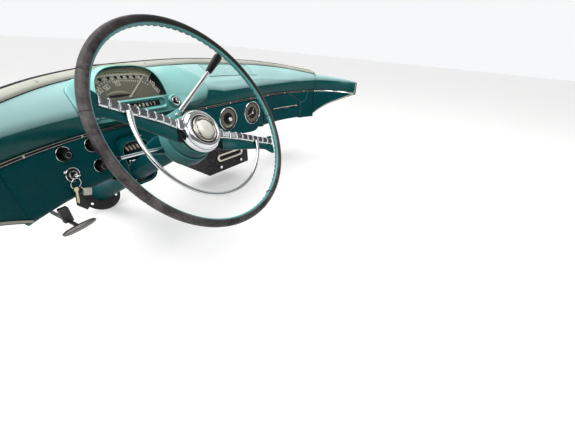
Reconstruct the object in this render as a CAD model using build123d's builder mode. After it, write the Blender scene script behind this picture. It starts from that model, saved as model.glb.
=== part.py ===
"""Dashboard of a 1950s saloon with its steering column and steering wheel.

Millimetres. +X points to the passenger side, +Y to the front of the car, +Z up.
The origin is the middle of the rail that bolts the dashboard to the cowl.
"""

import os
from math import asin, cos, radians, sin, sqrt

from build123d import *

os.makedirs("parts", exist_ok=True)

# Dashboard outline
SHEET = 1.6                 # pressed steel
HEM = 4.0                   # its folded lower edge, behind the strip
STRIP_Z = -133.0            # height of the chrome strip, where the two pressings meet
STRIP_Y = -148.0            # the strip's straight middle
STRIP_H = 8.0
BEND_X = 300.0              # where the strip starts to curve back to the doors
BEND_R = 720.0
SEAM_X = 657.0              # where the dashboard meets the corner caps
PANEL_BOTTOM = -274.0
LIP_DEPTH = 16.0
MOULDING_DEPTH, MOULDING_RISE = 22.0, 14.0

# Rows across the dashboard: x, depth of the roll from the strip to its top edge, top edge z,
# roundness of the roll, depth from the strip to the flange, flange z
ROLL_ROWS = (
    (0, 92, 0, 26, 165, -4),
    (300, 66, -8, 24, 165, -4),
    (480, 36, -22, 19, 116, -24),
    (600, 15, -39, 13, 83, -41),
    (SEAM_X, 4, -49, 10, 68, -51),
)
LEDGE = 34.0                # flat front edge of the flange, under the rail

# Cowl rail, the mount
RAIL = (620.0, 30.0, 4.0)
RAIL_BOLT_X = 260.0
BOLT_R = 4.5

# Corner caps
CAP_R = 204.0
CAP_TAIL = 45.0             # the straight end along the door post

# Steering
WHEEL_AT = (-371.0, -485.0, -75.0)
RAKE = 30.6                 # the wheel's face leans back this much from upright
WHEEL_TURN = -25.0          # as it is parked, clockwise to the driver
RIM_R = 218.0
RIM_TUBE_R = 10.8
HUB_DEPTH = 45.0            # from the rim's plane to the back of the cup
CUP_DEPTH = 18.0            # from the rim's plane to the front of the cup
CUP_WAIST = 33.0            # and to its widest turn
CUP_R = 48.0
SHAFT_R = 11.0
SHAFT_FIT = 0.05
JACKET_R = 27.0
JACKET_WALL = 2.0
BELL_TOP = -51.0            # along the column, from the rim's plane
COLLAR_TOP = -92.0
COLLAR_R = 60.0
COLLAR_END = -122.0
TOE = -700.0
SHAFT_END = -770.0
SHAFT_TIP_R = 9.0           # the turned-down end that the coupling clamps
SHAFT_TIP = 50.0
HORN_R = 152.0
HORN_H = -13.0

# Instrument cluster
CLUSTER_AT = (-320.0, -165.0, -85.0)
CLUSTER_TILT = 20.0
FAN_R = 98.0
FAN_BASE = 4.0              # the fan's centre above the cluster's middle
BAR_W = -6.0                # the bar under the fan, below the cluster's middle
BOSS_R = 19.0
BOSS_U = FAN_R + BOSS_R + 2
DIAL_DEPTH = 26.0
HOOD_DEPTH = 84.0

# Round instruments, in their turned pod
POD_AT = (115.0, -164.0, -187.0)
POD_YAW = 6.0
POD_DEPTH = 40.0
RADIO_U, RADIO_R = -72.0, 44.0
CLOCK_U, CLOCK_R = 66.0, 46.0

# Glove box
DOOR_X = (300.0, SEAM_X - 91.0)
DOOR_Z = (-269.0, -141.0)
DOOR_GAP = 5.0
BIN_BACK_Y = -8.0
PULL_Z = -200.0

# Surround of the column
SURROUND_MID = (-361.0, -237.0)
SURROUND_SIZE = (88.0, 142.0)
SURROUND_WALL = 6.0

# Unit under the dashboard
UNIT_AT = (2.0, -176.0, -340.0)
UNIT_SIZE = (222.0, 196.0, 96.0)
UNIT_YAW = 5.0


def line_y(x, forward=0.0):
    """Y of the strip's line at x, or of a line parallel to it, nearer the front."""
    past = max(abs(x) - BEND_X, 0.0)
    radius = BEND_R + forward
    return STRIP_Y - BEND_R + sqrt(radius**2 - past**2)


def band(back, front, x_low, x_high):
    """The band in plan between two lines parallel to the strip."""
    stops = [x_low] + [x for x in (-BEND_X, BEND_X) if x_low < x < x_high] + [x_high]
    with BuildSketch() as plan:
        with BuildLine():
            for forward in (back, front):
                for x0, x1 in zip(stops, stops[1:]):
                    middle = (x0 + x1) / 2
                    ends = (x0, line_y(x0, forward)), (x1, line_y(x1, forward))
                    if abs(middle) < BEND_X:
                        Line(*ends)
                    else:
                        ThreePointArc(ends[0], (middle, line_y(middle, forward)), ends[1])
            for x in (x_low, x_high):
                Line((x, line_y(x, back)), (x, line_y(x, front)))
        make_face()
    return plan.sketch


def save(part, name):
    part.label = name
    export_step(part, f"parts/{name}.step")


def roll_rows():
    """The rows of both halves, from the driver's end, as x, top y, top z, roundness, flange y, flange z."""
    right = []
    for x, depth, top_z, bulge, flange_depth, flange_z in ROLL_ROWS:
        right.append((x, line_y(x) + depth, top_z, bulge, line_y(x) + flange_depth, flange_z))
    left = [(-row[0],) + row[1:] for row in reversed(right[1:])]
    return left + right


def roll_section(row, sheet, sink=0.0):
    """One cross section of the upper pressing, as a closed strip of sheet."""
    x, top_y, top_z, bulge, flange_y, flange_z = row
    low_y = line_y(x) + sink
    top_y, top_z, flange_z = top_y + sink, top_z - sink, flange_z - sink
    ledge_y = flange_y - LEDGE
    low_z = STRIP_Z + STRIP_H / 2
    run, rise = top_y - low_y, top_z - low_z
    chord = sqrt(run**2 + rise**2)
    out_y, out_z = -rise / chord, run / chord
    mid = ((low_y + top_y) / 2 + bulge * out_y, (low_z + top_z) / 2 + bulge * out_z)
    inner_mid = (mid[0] - sheet * out_y, mid[1] - sheet * out_z)
    with BuildSketch() as section:
        with BuildLine():
            ThreePointArc((low_y, low_z), mid, (top_y, top_z))
            Polyline((top_y, top_z), (ledge_y, flange_z), (flange_y, flange_z),
                     (flange_y, flange_z - sheet), (ledge_y, flange_z - sheet),
                     (top_y + 1, top_z - sheet))
            ThreePointArc((top_y + 1, top_z - sheet), inner_mid, (low_y + sheet, low_z))
            Line((low_y + sheet, low_z), (low_y, low_z))
        make_face()
    return section.sketch


def across(x):
    """The plane that cuts the dashboard at x, with Y to its right and Z up."""
    return Plane(origin=(x, 0, 0), x_dir=(0, 1, 0), z_dir=(1, 0, 0))


tilt = radians(RAKE)
column = Plane(origin=WHEEL_AT, x_dir=(1, 0, 0), z_dir=(0, -cos(tilt), sin(tilt)))
turn = radians(WHEEL_TURN)
wheel = Plane(
    origin=WHEEL_AT,
    x_dir=column.x_dir * cos(turn) + column.y_dir * sin(turn),
    z_dir=column.z_dir,
)
lean = radians(CLUSTER_TILT)
cluster = Plane(origin=CLUSTER_AT, x_dir=(1, 0, 0), z_dir=(0, -cos(lean), sin(lean)))
yaw = radians(POD_YAW)
pod = Plane(origin=POD_AT, x_dir=(cos(yaw), -sin(yaw), 0), z_dir=(-sin(yaw), -cos(yaw), 0))
unit_yaw = radians(UNIT_YAW)
unit = Plane(
    origin=UNIT_AT,
    x_dir=(cos(unit_yaw), -sin(unit_yaw), 0),
    z_dir=(-sin(unit_yaw), -cos(unit_yaw), 0),
)


# Upper pressing and its trim

def hood_outline(grow):
    """The instrument hood from the front: a fan over a bar with round ends."""
    with BuildSketch() as outline:
        with Locations((0, FAN_BASE)):
            Circle(FAN_R + 8 + grow)
        with Locations((0, BAR_W - 200)):
            Rectangle(600, 400, mode=Mode.SUBTRACT)
        with Locations((0, BAR_W)):
            SlotOverall(2 * (BOSS_U + BOSS_R + 2 + grow), 2 * (BOSS_R + 2 + grow))
    return outline.sketch


def fan_outline(radius, foot):
    """A fan with a straight foot."""
    with BuildSketch() as outline:
        with Locations((0, FAN_BASE)):
            Circle(radius)
        with Locations((0, foot - 200)):
            Rectangle(600, 400, mode=Mode.SUBTRACT)
    return outline.sketch


with BuildPart() as past_top_edge:
    for x, top_y, top_z, *_ in roll_rows():
        with BuildSketch(across(x)):
            with Locations((top_y, top_z)):
                Rectangle(150, 160, align=(Align.MIN, Align.CENTER))
    loft()

with BuildPart() as hood_way:
    with BuildSketch(cluster.offset(30)):
        add(hood_outline(1.0))
    extrude(amount=-160)
    add(past_top_edge.part, mode=Mode.SUBTRACT)

with BuildPart() as upper_panel:
    for row in roll_rows():
        with BuildSketch(across(row[0])):
            add(roll_section(row, SHEET))
    loft()
    with BuildSketch(Plane.XY.offset(STRIP_Z)):
        add(band(0, HEM, -SEAM_X, SEAM_X))
    extrude(amount=STRIP_H / 2)
    add(hood_way.part, mode=Mode.SUBTRACT)
    with BuildSketch(Plane.XY.offset(40)):
        with Locations((145, -120)):
            Rectangle(252, 66)
    extrude(amount=-160, mode=Mode.SUBTRACT)
    with BuildSketch(Plane.XY.offset(10)):
        with Locations((-RAIL_BOLT_X, 0), (RAIL_BOLT_X, 0)):
            Circle(BOLT_R)
    extrude(amount=-30, mode=Mode.SUBTRACT)
save(upper_panel.part, "upper_panel")

with BuildPart() as speaker_grille:
    for row in roll_rows()[3:6]:
        with BuildSketch(across(row[0])):
            add(roll_section(row, SHEET, sink=3.0))
    loft()
    with BuildSketch(Plane.XY.offset(40)):
        with Locations((145, -120)):
            Rectangle(262, 76)
    extrude(amount=-160, mode=Mode.INTERSECT)
save(speaker_grille.part, "speaker_grille")

with BuildPart() as cowl_rail:
    with BuildSketch(Plane.XY.offset(-RAIL[2])):
        Rectangle(RAIL[0], RAIL[1])
        with Locations((-RAIL_BOLT_X, 0), (RAIL_BOLT_X, 0)):
            Circle(BOLT_R, mode=Mode.SUBTRACT)
    extrude(amount=RAIL[2])
    add(upper_panel.part, mode=Mode.SUBTRACT)
save(cowl_rail.part, "cowl_rail")

with BuildPart() as garnish_moulding:
    for x, top_y, top_z, _, flange_y, flange_z in roll_rows():
        slope = (flange_z - top_z) / (flange_y - top_y)
        back = top_y + MOULDING_DEPTH
        back_z = top_z + slope * MOULDING_DEPTH
        with BuildSketch(across(x)):
            with BuildLine():
                Polyline(
                    (top_y, top_z + 1), (top_y, top_z + 5), (back - 2, top_z + MOULDING_RISE),
                    (back, top_z + MOULDING_RISE), (back, back_z), (back - 2, back_z),
                    (back - 2, top_z + MOULDING_RISE - 3), (top_y + 2, top_z + 3),
                    (top_y + 2, top_z + 1), close=True,
                )
            make_face()
    loft()
    add(upper_panel.part, mode=Mode.SUBTRACT)
save(garnish_moulding.part, "garnish_moulding")

with BuildPart() as chrome_strip:
    with BuildSketch(Plane.XY.offset(STRIP_Z - STRIP_H / 2)):
        add(band(-5, 0, -SEAM_X + 4, SEAM_X - 4))
    extrude(amount=STRIP_H)
    with BuildSketch(Plane.XY.offset(STRIP_Z - 2)):
        add(band(-5, -3, -SEAM_X + 4, SEAM_X - 4))
    extrude(amount=4, mode=Mode.SUBTRACT)
save(chrome_strip.part, "chrome_strip")

# Lower pressing, with the ways through it for the column and the glove box

with BuildPart() as lower_panel:
    with BuildSketch(Plane.XY.offset(PANEL_BOTTOM)):
        add(band(0, SHEET, -SEAM_X, SEAM_X))
    extrude(amount=STRIP_Z - PANEL_BOTTOM)
    with BuildSketch(Plane.XY.offset(PANEL_BOTTOM)):
        add(band(0, LIP_DEPTH, -SEAM_X, SEAM_X))
    extrude(amount=SHEET)
    with BuildSketch(Plane.XZ.offset(400)):
        with Locations((SURROUND_MID[0], SURROUND_MID[1])):
            Rectangle(SURROUND_SIZE[0] - 2 * SURROUND_WALL, SURROUND_SIZE[1] - 22)
        with Locations(((DOOR_X[0] + DOOR_X[1]) / 2, (PANEL_BOTTOM + DOOR_Z[1]) / 2)):
            Rectangle(DOOR_X[1] - DOOR_X[0] + 2 * DOOR_GAP, DOOR_Z[1] - PANEL_BOTTOM + 2 * DOOR_GAP)
    extrude(amount=-400, mode=Mode.SUBTRACT)
    with BuildSketch(pod):
        with Locations((RADIO_U, 0)):
            Circle(RADIO_R - 3)
        with Locations((CLOCK_U, 0)):
            Circle(CLOCK_R - 3)
    extrude(amount=-80, mode=Mode.SUBTRACT)
    with BuildSketch(column):
        Circle(JACKET_R + 2)
    extrude(amount=TOE, mode=Mode.SUBTRACT)
save(lower_panel.part, "lower_panel")

# Corner caps, from the seam round to the door posts

seam_angle = asin((SEAM_X - BEND_X) / BEND_R)
seam_y = line_y(SEAM_X)
cap_centre = (SEAM_X - CAP_R * sin(seam_angle), seam_y - CAP_R * cos(seam_angle))
CAP_X = cap_centre[0] + CAP_R
CAP_END_Y = cap_centre[1] - CAP_TAIL


def cap_outline(side, back, front):
    """The cap's band in plan: an arc from the seam, then straight back along the post."""
    edges = []
    for forward in (back, front):
        radius = CAP_R + forward
        half = (seam_angle + radians(90)) / 2
        start = (cap_centre[0] + radius * sin(seam_angle), cap_centre[1] + radius * cos(seam_angle))
        bend = (cap_centre[0] + radius * sin(half), cap_centre[1] + radius * cos(half))
        turn = (cap_centre[0] + radius, cap_centre[1])
        end = (cap_centre[0] + radius, CAP_END_Y)
        edges.append([(side * x, y) for x, y in (start, bend, turn, end)])
    with BuildSketch() as plan:
        with BuildLine():
            for start, bend, turn, end in edges:
                ThreePointArc(start, bend, turn)
                Line(turn, end)
            Line(edges[0][0], edges[1][0])
            Line(edges[0][3], edges[1][3])
        make_face()
    return plan.sketch


for side, name in ((-1, "corner_cap_left"), (1, "corner_cap_right")):
    with BuildPart() as corner_cap:
        with BuildSketch(Plane.XY.offset(PANEL_BOTTOM)):
            add(cap_outline(side, 0, SHEET))
        extrude(amount=-PANEL_BOTTOM)
        with BuildSketch(across(0)):
            with BuildLine():
                Polyline(
                    (seam_y + 33, -49), (seam_y - 7, -51), (CAP_END_Y, -74), (CAP_END_Y, -150),
                    (CAP_END_Y + 85, -168), (seam_y - 57, -225), (seam_y - 19, PANEL_BOTTOM),
                    (seam_y + 33, PANEL_BOTTOM), close=True,
                )
            make_face()
        extrude(amount=900, both=True, mode=Mode.INTERSECT)
    save(corner_cap.part, name)

with BuildPart() as cap_strips:
    for side in (-1, 1):
        with BuildSketch(Plane.XY.offset(STRIP_Z - STRIP_H / 2)):
            add(cap_outline(side, -5, 0))
        extrude(amount=STRIP_H)
        with BuildSketch(Plane.XY.offset(STRIP_Z - 2)):
            add(cap_outline(side, -5, -3))
        extrude(amount=4, mode=Mode.SUBTRACT)
save(cap_strips.part, "cap_strips")

with BuildPart() as pillar_brackets:
    for side in (-1, 1):
        with BuildSketch(Plane.YZ.offset(side * (CAP_X + SHEET))):
            with Locations((CAP_END_Y + 28, -112)):
                Rectangle(36, 56)
                with GridLocations(0, 34, 1, 2):
                    Circle(BOLT_R, mode=Mode.SUBTRACT)
        extrude(amount=side * 3)
save(pillar_brackets.part, "pillar_brackets")

# Instrument cluster

with BuildPart() as cluster_hood:
    with BuildSketch(cluster):
        add(hood_outline(0))
    extrude(amount=-HOOD_DEPTH)
    with BuildSketch(cluster):
        add(hood_outline(-2.5))
    extrude(amount=-HOOD_DEPTH, mode=Mode.SUBTRACT)
    with BuildSketch(cluster.offset(-2.5)):
        with Locations((0, BAR_W)):
            SlotOverall(2 * (BOSS_U + BOSS_R) + 1, 2 * BOSS_R + 1)
            Rectangle(2 * FAN_R - 4, 4 * BOSS_R, mode=Mode.SUBTRACT)
    extrude(amount=2.5)
    add(past_top_edge.part, mode=Mode.SUBTRACT)
save(cluster_hood.part, "cluster_hood")

with BuildPart() as cluster_can:
    with BuildSketch(cluster.offset(-DIAL_DEPTH - 3)):
        add(hood_outline(-2.6))
    extrude(amount=-3)
    with BuildSketch(cluster.offset(-DIAL_DEPTH - 6)):
        with Locations((0, 24)):
            Rectangle(150, 74)
    extrude(amount=-36)
    add(past_top_edge.part, mode=Mode.SUBTRACT)
save(cluster_can.part, "cluster_can")

BAR_TOP = BAR_W + 17
NEEDLE_AT = (-8, BAR_TOP + 7)
with BuildPart() as speedometer_dial:
    with BuildSketch(cluster.offset(-DIAL_DEPTH)):
        add(fan_outline(FAN_R + 4, BAR_TOP + 0.5))
    extrude(amount=-3)
save(speedometer_dial.part, "speedometer_dial")

with BuildPart() as speedometer_needle:
    with BuildSketch(cluster.offset(-DIAL_DEPTH)):
        with Locations(NEEDLE_AT):
            Circle(5)
    extrude(amount=3)
    with BuildSketch(cluster.offset(-DIAL_DEPTH + 2)):
        with Locations(Location(NEEDLE_AT, 37)):
            Rectangle(FAN_R - 8, 2.2, align=(Align.MIN, Align.CENTER))
    extrude(amount=1)
save(speedometer_needle.part, "speedometer_needle")

with BuildPart() as cluster_lens:
    with BuildSketch(cluster.offset(-8)):
        add(fan_outline(FAN_R + 5, BAR_TOP + 0.5))
    extrude(amount=-2)
save(cluster_lens.part, "cluster_lens")

with BuildPart() as odometer_bar:
    with BuildSketch(cluster.offset(-DIAL_DEPTH - 3)):
        with Locations((0, BAR_W)):
            Rectangle(2 * FAN_R - 5, 34)
    extrude(amount=DIAL_DEPTH + 9)
    fillet(odometer_bar.faces().sort_by(Axis(cluster.origin, cluster.z_dir))[-1].edges(), 5)
    with BuildSketch(cluster.offset(10)):
        with Locations((0, BAR_W)):
            Rectangle(2 * FAN_R - 44, 17)
    extrude(amount=-12, mode=Mode.SUBTRACT)
save(odometer_bar.part, "odometer_bar")

with BuildPart() as odometer_window:
    with BuildSketch(cluster.offset(-2)):
        with Locations((0, BAR_W)):
            Rectangle(2 * FAN_R - 44, 17)
    extrude(amount=2)
save(odometer_window.part, "odometer_window")

with BuildPart() as cluster_bosses:
    with BuildSketch(cluster):
        with Locations((-BOSS_U, BAR_W), (BOSS_U, BAR_W)):
            Circle(BOSS_R)
    extrude(amount=6)
save(cluster_bosses.part, "cluster_bosses")

with BuildPart() as cluster_knobs:
    for height, radius, depth in ((6, 11, 5), (11, 6, 8)):
        with BuildSketch(cluster.offset(height)):
            with Locations((-BOSS_U, BAR_W), (BOSS_U, BAR_W)):
                Circle(radius)
        extrude(amount=depth)
save(cluster_knobs.part, "cluster_knobs")


# Small controls on the lower pressing: x, z

def face_at(x, z):
    """The plane on the lower pressing at x and z, facing the driver."""
    past = max(abs(x) - BEND_X, 0.0)
    turn = asin(past / BEND_R) * (1 if x > 0 else -1)
    return Plane(origin=(x, line_y(x), z), x_dir=(cos(turn), -sin(turn), 0),
                 z_dir=(-sin(turn), -cos(turn), 0))


def in_panel(x_low, x_high):
    """All that lies on or in front of the lower pressing's face, to trim a piece to it."""
    with BuildPart() as block:
        with BuildSketch(Plane.XY.offset(PANEL_BOTTOM - 60)):
            add(band(0, 60, x_low, x_high))
        extrude(amount=-PANEL_BOTTOM)
    return block.part


SWITCHES = ((-533, -161), (-464, -161), (-463, -215))
IGNITION = (-533, -212)
switch_back = in_panel(-600, -400)

with BuildPart() as switch_bezels:
    for place in SWITCHES:
        with BuildSketch(face_at(*place).offset(-1)):
            Circle(20)
            Circle(12, mode=Mode.SUBTRACT)
        extrude(amount=6)
    add(switch_back, mode=Mode.SUBTRACT)
save(switch_bezels.part, "switch_bezels")

with BuildPart() as switch_knobs:
    for place in SWITCHES:
        with BuildSketch(face_at(*place).offset(-1)):
            Circle(5)
        extrude(amount=15)
        with Locations(face_at(*place).offset(14)):
            Cone(13, 11, 14, align=(Align.CENTER, Align.CENTER, Align.MIN))
    add(switch_back, mode=Mode.SUBTRACT)
save(switch_knobs.part, "switch_knobs")

with BuildPart() as ignition_lock:
    with BuildSketch(face_at(*IGNITION).offset(-1)):
        Circle(17)
    extrude(amount=7)
    with BuildSketch(face_at(*IGNITION).offset(6)):
        Circle(11)
    extrude(amount=6)
    add(switch_back, mode=Mode.SUBTRACT)
save(ignition_lock.part, "ignition_lock")

with BuildPart() as ignition_key:
    with BuildSketch(face_at(*IGNITION).offset(12)):
        Rectangle(2.4, 9)
    extrude(amount=12)
    with BuildSketch(face_at(*IGNITION).offset(24)):
        Rectangle(2.4, 22)
    extrude(amount=18)
save(ignition_key.part, "ignition_key")

# Pod with the two round units

def pod_outline(inset):
    """The pod from the front, wider above than below."""
    with BuildSketch() as outline:
        with BuildLine():
            Polyline((-130, 44), (124, 44), (132, -34), (84, -82), (-70, -78), (-130, -44), close=True)
        make_face()
        fillet(outline.vertices(), 16)
        offset(amount=-inset)
    return outline.sketch


with BuildPart() as centre_pod:
    with BuildSketch(pod):
        add(pod_outline(0))
    extrude(amount=-POD_DEPTH)
    with BuildSketch(pod.offset(-2.5)):
        add(pod_outline(2))
    extrude(amount=-POD_DEPTH, mode=Mode.SUBTRACT)
    with BuildSketch(pod):
        with Locations((RADIO_U, 0)):
            Circle(RADIO_R - 3)
        with Locations((CLOCK_U, 0)):
            Circle(CLOCK_R - 3)
    extrude(amount=-10, mode=Mode.SUBTRACT)
    add(in_panel(-200, 290), mode=Mode.SUBTRACT)
save(centre_pod.part, "centre_pod")

ROUND_UNITS = (("radio", RADIO_U, RADIO_R), ("clock", CLOCK_U, CLOCK_R))

for name, u, radius in ROUND_UNITS:
    with BuildPart() as bezel:
        with BuildSketch(pod):
            with Locations((u, 0)):
                Circle(radius)
                Circle(radius - 7, mode=Mode.SUBTRACT)
        extrude(amount=8)
    save(bezel.part, f"{name}_bezel")
    with BuildPart() as face:
        with BuildSketch(pod.offset(-2)):
            with Locations((u, 0)):
                Circle(radius - 3.5)
        extrude(amount=2)
    save(face.part, f"{name}_face")
    with BuildPart() as case:
        with BuildSketch(pod.offset(-2)):
            with Locations((u, 0)):
                Circle(radius - 6)
        extrude(amount=-88)
    save(case.part, f"{name}_case")

with BuildPart() as radio_knob:
    with BuildSketch(pod):
        with Locations((RADIO_U, 0)):
            Circle(20)
    extrude(amount=6)
    with BuildSketch(pod.offset(6)):
        with Locations((RADIO_U, 0)):
            Circle(11)
    extrude(amount=12)
save(radio_knob.part, "radio_knob")

with BuildPart() as clock_hands:
    with BuildSketch(pod):
        with Locations((CLOCK_U, 0)):
            Circle(3)
        with Locations(Location((CLOCK_U, 0), 62)):
            Rectangle(22, 3, align=(Align.MIN, Align.CENTER))
        with Locations(Location((CLOCK_U, 0), 200)):
            Rectangle(30, 2.4, align=(Align.MIN, Align.CENTER))
    extrude(amount=1.5)
save(clock_hands.part, "clock_hands")

# Glove box

bin_x = (DOOR_X[0] + 10, DOOR_X[1] - 10)
bin_z = (DOOR_Z[0] + 16, DOOR_Z[1] - 8)
bow = (DOOR_X[1] - DOOR_X[0])**2 / (8 * BEND_R)
mouth_gap = SHEET + DOOR_GAP + bow


def bin_plan(inset):
    """The bin in plan, open to the door, which it follows at both ends."""
    x0, x1 = bin_x[0] + inset, bin_x[1] - inset
    with BuildSketch() as plan:
        with BuildLine():
            Polyline((x0, line_y(x0) + mouth_gap), (x1, line_y(x1) + mouth_gap),
                     (x1, BIN_BACK_Y - inset), (x0, BIN_BACK_Y - inset), close=True)
        make_face()
    return plan.sketch


with BuildPart() as glove_box_bin:
    with BuildSketch(Plane.XY.offset(bin_z[0])):
        add(bin_plan(0))
    extrude(amount=bin_z[1] - bin_z[0])
    with BuildSketch(Plane.XY.offset(bin_z[0] + SHEET)):
        add(bin_plan(SHEET))
    extrude(amount=bin_z[1] - bin_z[0] - 2 * SHEET, mode=Mode.SUBTRACT)
    with BuildSketch(Plane.XY.offset(bin_z[0] + SHEET)):
        with Locations(((bin_x[0] + bin_x[1]) / 2, BIN_BACK_Y - 100 - SHEET)):
            Rectangle(bin_x[1] - bin_x[0] - 2 * SHEET, 200)
    extrude(amount=bin_z[1] - bin_z[0] - 2 * SHEET, mode=Mode.SUBTRACT)
    with BuildSketch(Plane.XY.offset(bin_z[0])):
        with Locations((DOOR_X[0] - DOOR_GAP - 16, STRIP_Y + SHEET)):
            Rectangle(16, mouth_gap, align=Align.MIN)
        with Locations((DOOR_X[0] - DOOR_GAP - 1, STRIP_Y + mouth_gap)):
            Rectangle(bin_x[0] - DOOR_X[0] + DOOR_GAP + 1 + SHEET, SHEET, align=Align.MIN)
    extrude(amount=bin_z[1] - bin_z[0])
save(glove_box_bin.part, "glove_box_bin")

HINGE_X = (DOOR_X[0] + 14, DOOR_X[1] - 14)
HINGE_Z = DOOR_Z[0] + 6
PIN_R = 3.0
hinge_ends = [Vector(x, line_y(x) + bow + 9, HINGE_Z) for x in HINGE_X]
hinge_dir = (hinge_ends[1] - hinge_ends[0]).normalized()
hinge_len = (hinge_ends[1] - hinge_ends[0]).length
hinge = Plane(origin=hinge_ends[0], x_dir=(0, 0, 1), z_dir=hinge_dir)

with BuildPart() as glove_hinge_pin:
    with BuildSketch(hinge):
        Circle(PIN_R)
    extrude(amount=hinge_len)
    for along in (0, hinge_len - 8):
        with BuildSketch(hinge.offset(along)):
            Rectangle(bin_z[0] - HINGE_Z, 10, align=(Align.MIN, Align.CENTER))
        extrude(amount=8)
save(glove_hinge_pin.part, "glove_hinge_pin")

with BuildPart() as door_hinge_arms:
    for along in (26, hinge_len - 38):
        with BuildSketch(hinge.offset(along)):
            Circle(6)
            Rectangle(6, 60, align=(Align.CENTER, Align.MIN))
            Circle(PIN_R + SHAFT_FIT, mode=Mode.SUBTRACT)
        extrude(amount=12)
    with BuildSketch(Plane.XY.offset(DOOR_Z[0])):
        add(band(-80, SHEET, *DOOR_X))
    extrude(amount=20, mode=Mode.SUBTRACT)
save(door_hinge_arms.part, "door_hinge_arms")

with BuildPart() as glove_box_door:
    with BuildSketch(Plane.XY.offset(DOOR_Z[0])):
        add(band(0, SHEET, *DOOR_X))
    extrude(amount=DOOR_Z[1] - DOOR_Z[0])
    with BuildSketch(Plane.XZ.offset(400)):
        with BuildLine():
            Polyline((DOOR_X[0], DOOR_Z[0]), (DOOR_X[1], DOOR_Z[0]), (DOOR_X[1], -184),
                     (DOOR_X[1] - 72, DOOR_Z[1]), (DOOR_X[0], DOOR_Z[1]), close=True)
        make_face()
    extrude(amount=-400, mode=Mode.INTERSECT)
save(glove_box_door.part, "glove_box_door")

pull_x = (DOOR_X[0] + 62, DOOR_X[1] - 30)
with BuildPart() as glove_door_pull:
    for x in pull_x:
        with BuildSketch(face_at(x, PULL_Z).offset(-1)):
            Rectangle(8, 8)
        extrude(amount=13)
    with BuildSketch(Plane.XY.offset(PULL_Z - 3.5)):
        add(band(-14, -9, pull_x[0] - 6, pull_x[1] + 6))
    extrude(amount=7)
    add(in_panel(*DOOR_X), mode=Mode.SUBTRACT)
save(glove_door_pull.part, "glove_door_pull")

# Unit under the dashboard

with BuildPart() as unit_case:
    with BuildSketch(unit):
        Rectangle(UNIT_SIZE[0], UNIT_SIZE[2])
    extrude(amount=-UNIT_SIZE[1])
    fillet(unit_case.edges().filter_by(Axis(unit.origin, unit.z_dir)), 4)
save(unit_case.part, "unit_case")

with BuildPart() as unit_front:
    with BuildSketch(unit):
        with Locations((0, 14)):
            SlotOverall(132, 34)
    extrude(amount=10)
    with BuildSketch(unit.offset(10)):
        with Locations((0, 14)):
            SlotOverall(110, 12)
    extrude(amount=-5, mode=Mode.SUBTRACT)
save(unit_front.part, "unit_front")

with BuildPart() as unit_knobs:
    with BuildSketch(unit):
        with Locations((-56, -22), (56, -22)):
            Circle(6)
    extrude(amount=14)
save(unit_knobs.part, "unit_knobs")

with BuildPart() as unit_hangers:
    for x in (-52, 70):
        with BuildSketch(Plane.XY.offset(PANEL_BOTTOM)):
            with Locations((x, STRIP_Y + LIP_DEPTH / 2)):
                Rectangle(22, LIP_DEPTH - 4)
        extrude(amount=UNIT_AT[2] + UNIT_SIZE[2] / 2 - PANEL_BOTTOM)
save(unit_hangers.part, "unit_hangers")

# Steering column

with BuildPart() as column_jacket:
    with BuildSketch(column.offset(TOE)):
        Circle(JACKET_R)
        Circle(JACKET_R - JACKET_WALL, mode=Mode.SUBTRACT)
    extrude(amount=COLLAR_END - TOE)
    for start in (TOE, COLLAR_END - 20):
        with BuildSketch(column.offset(start)):
            Circle(JACKET_R - JACKET_WALL)
            Circle(SHAFT_R + SHAFT_FIT, mode=Mode.SUBTRACT)
        extrude(amount=20)
save(column_jacket.part, "column_jacket")

with BuildPart() as shift_collar:
    with BuildSketch(column.offset(COLLAR_END)):
        Circle(COLLAR_R)
        Circle(SHAFT_R + 6, mode=Mode.SUBTRACT)
    extrude(amount=COLLAR_TOP - COLLAR_END)
save(shift_collar.part, "shift_collar")

with BuildPart() as column_bell:
    with Locations(column.offset(COLLAR_TOP)):
        Cone(51, 47, BELL_TOP - COLLAR_TOP, align=(Align.CENTER, Align.CENTER, Align.MIN))
    with BuildSketch(column.offset(COLLAR_TOP)):
        Circle(SHAFT_R + 6)
    extrude(amount=BELL_TOP - COLLAR_TOP, mode=Mode.SUBTRACT)
save(column_bell.part, "column_bell")


def rod_plane(start, end):
    """A plane at one column point that faces another."""
    a, b = column.from_local_coords(Vector(*start)), column.from_local_coords(Vector(*end))
    return Plane(origin=a, z_dir=b - a), (b - a).length


SHIFT_FOOT, SHIFT_GRIP, SHIFT_TIP = (3, 53, -103), (146, 143, -66), (205, 180, -60)
SIGNAL_FOOT, SIGNAL_TIP = (-54, 2, -110), (-178, 3, -84)

with BuildPart() as shift_lever:
    place, length = rod_plane(SHIFT_FOOT, SHIFT_GRIP)
    with BuildSketch(place):
        Circle(4.5)
    extrude(amount=length)
    with Locations(place):
        Cone(14, 7, 24, align=(Align.CENTER, Align.CENTER, Align.MIN))
    add(shift_collar.part, mode=Mode.SUBTRACT)
    add(column_bell.part, mode=Mode.SUBTRACT)
save(shift_lever.part, "shift_lever")

with BuildPart() as shift_grip:
    place, length = rod_plane(SHIFT_GRIP, SHIFT_TIP)
    with Locations(place):
        Cone(6.5, 9, length, align=(Align.CENTER, Align.CENTER, Align.MIN))
    add(shift_lever.part, mode=Mode.SUBTRACT)
save(shift_grip.part, "shift_grip")

with BuildPart() as signal_lever:
    place, length = rod_plane(SIGNAL_FOOT, SIGNAL_TIP)
    with BuildSketch(place):
        Circle(3.5)
    extrude(amount=length)
    with BuildSketch(place.offset(length)):
        Circle(5)
    extrude(amount=16)
    add(shift_collar.part, mode=Mode.SUBTRACT)
save(signal_lever.part, "signal_lever")

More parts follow.
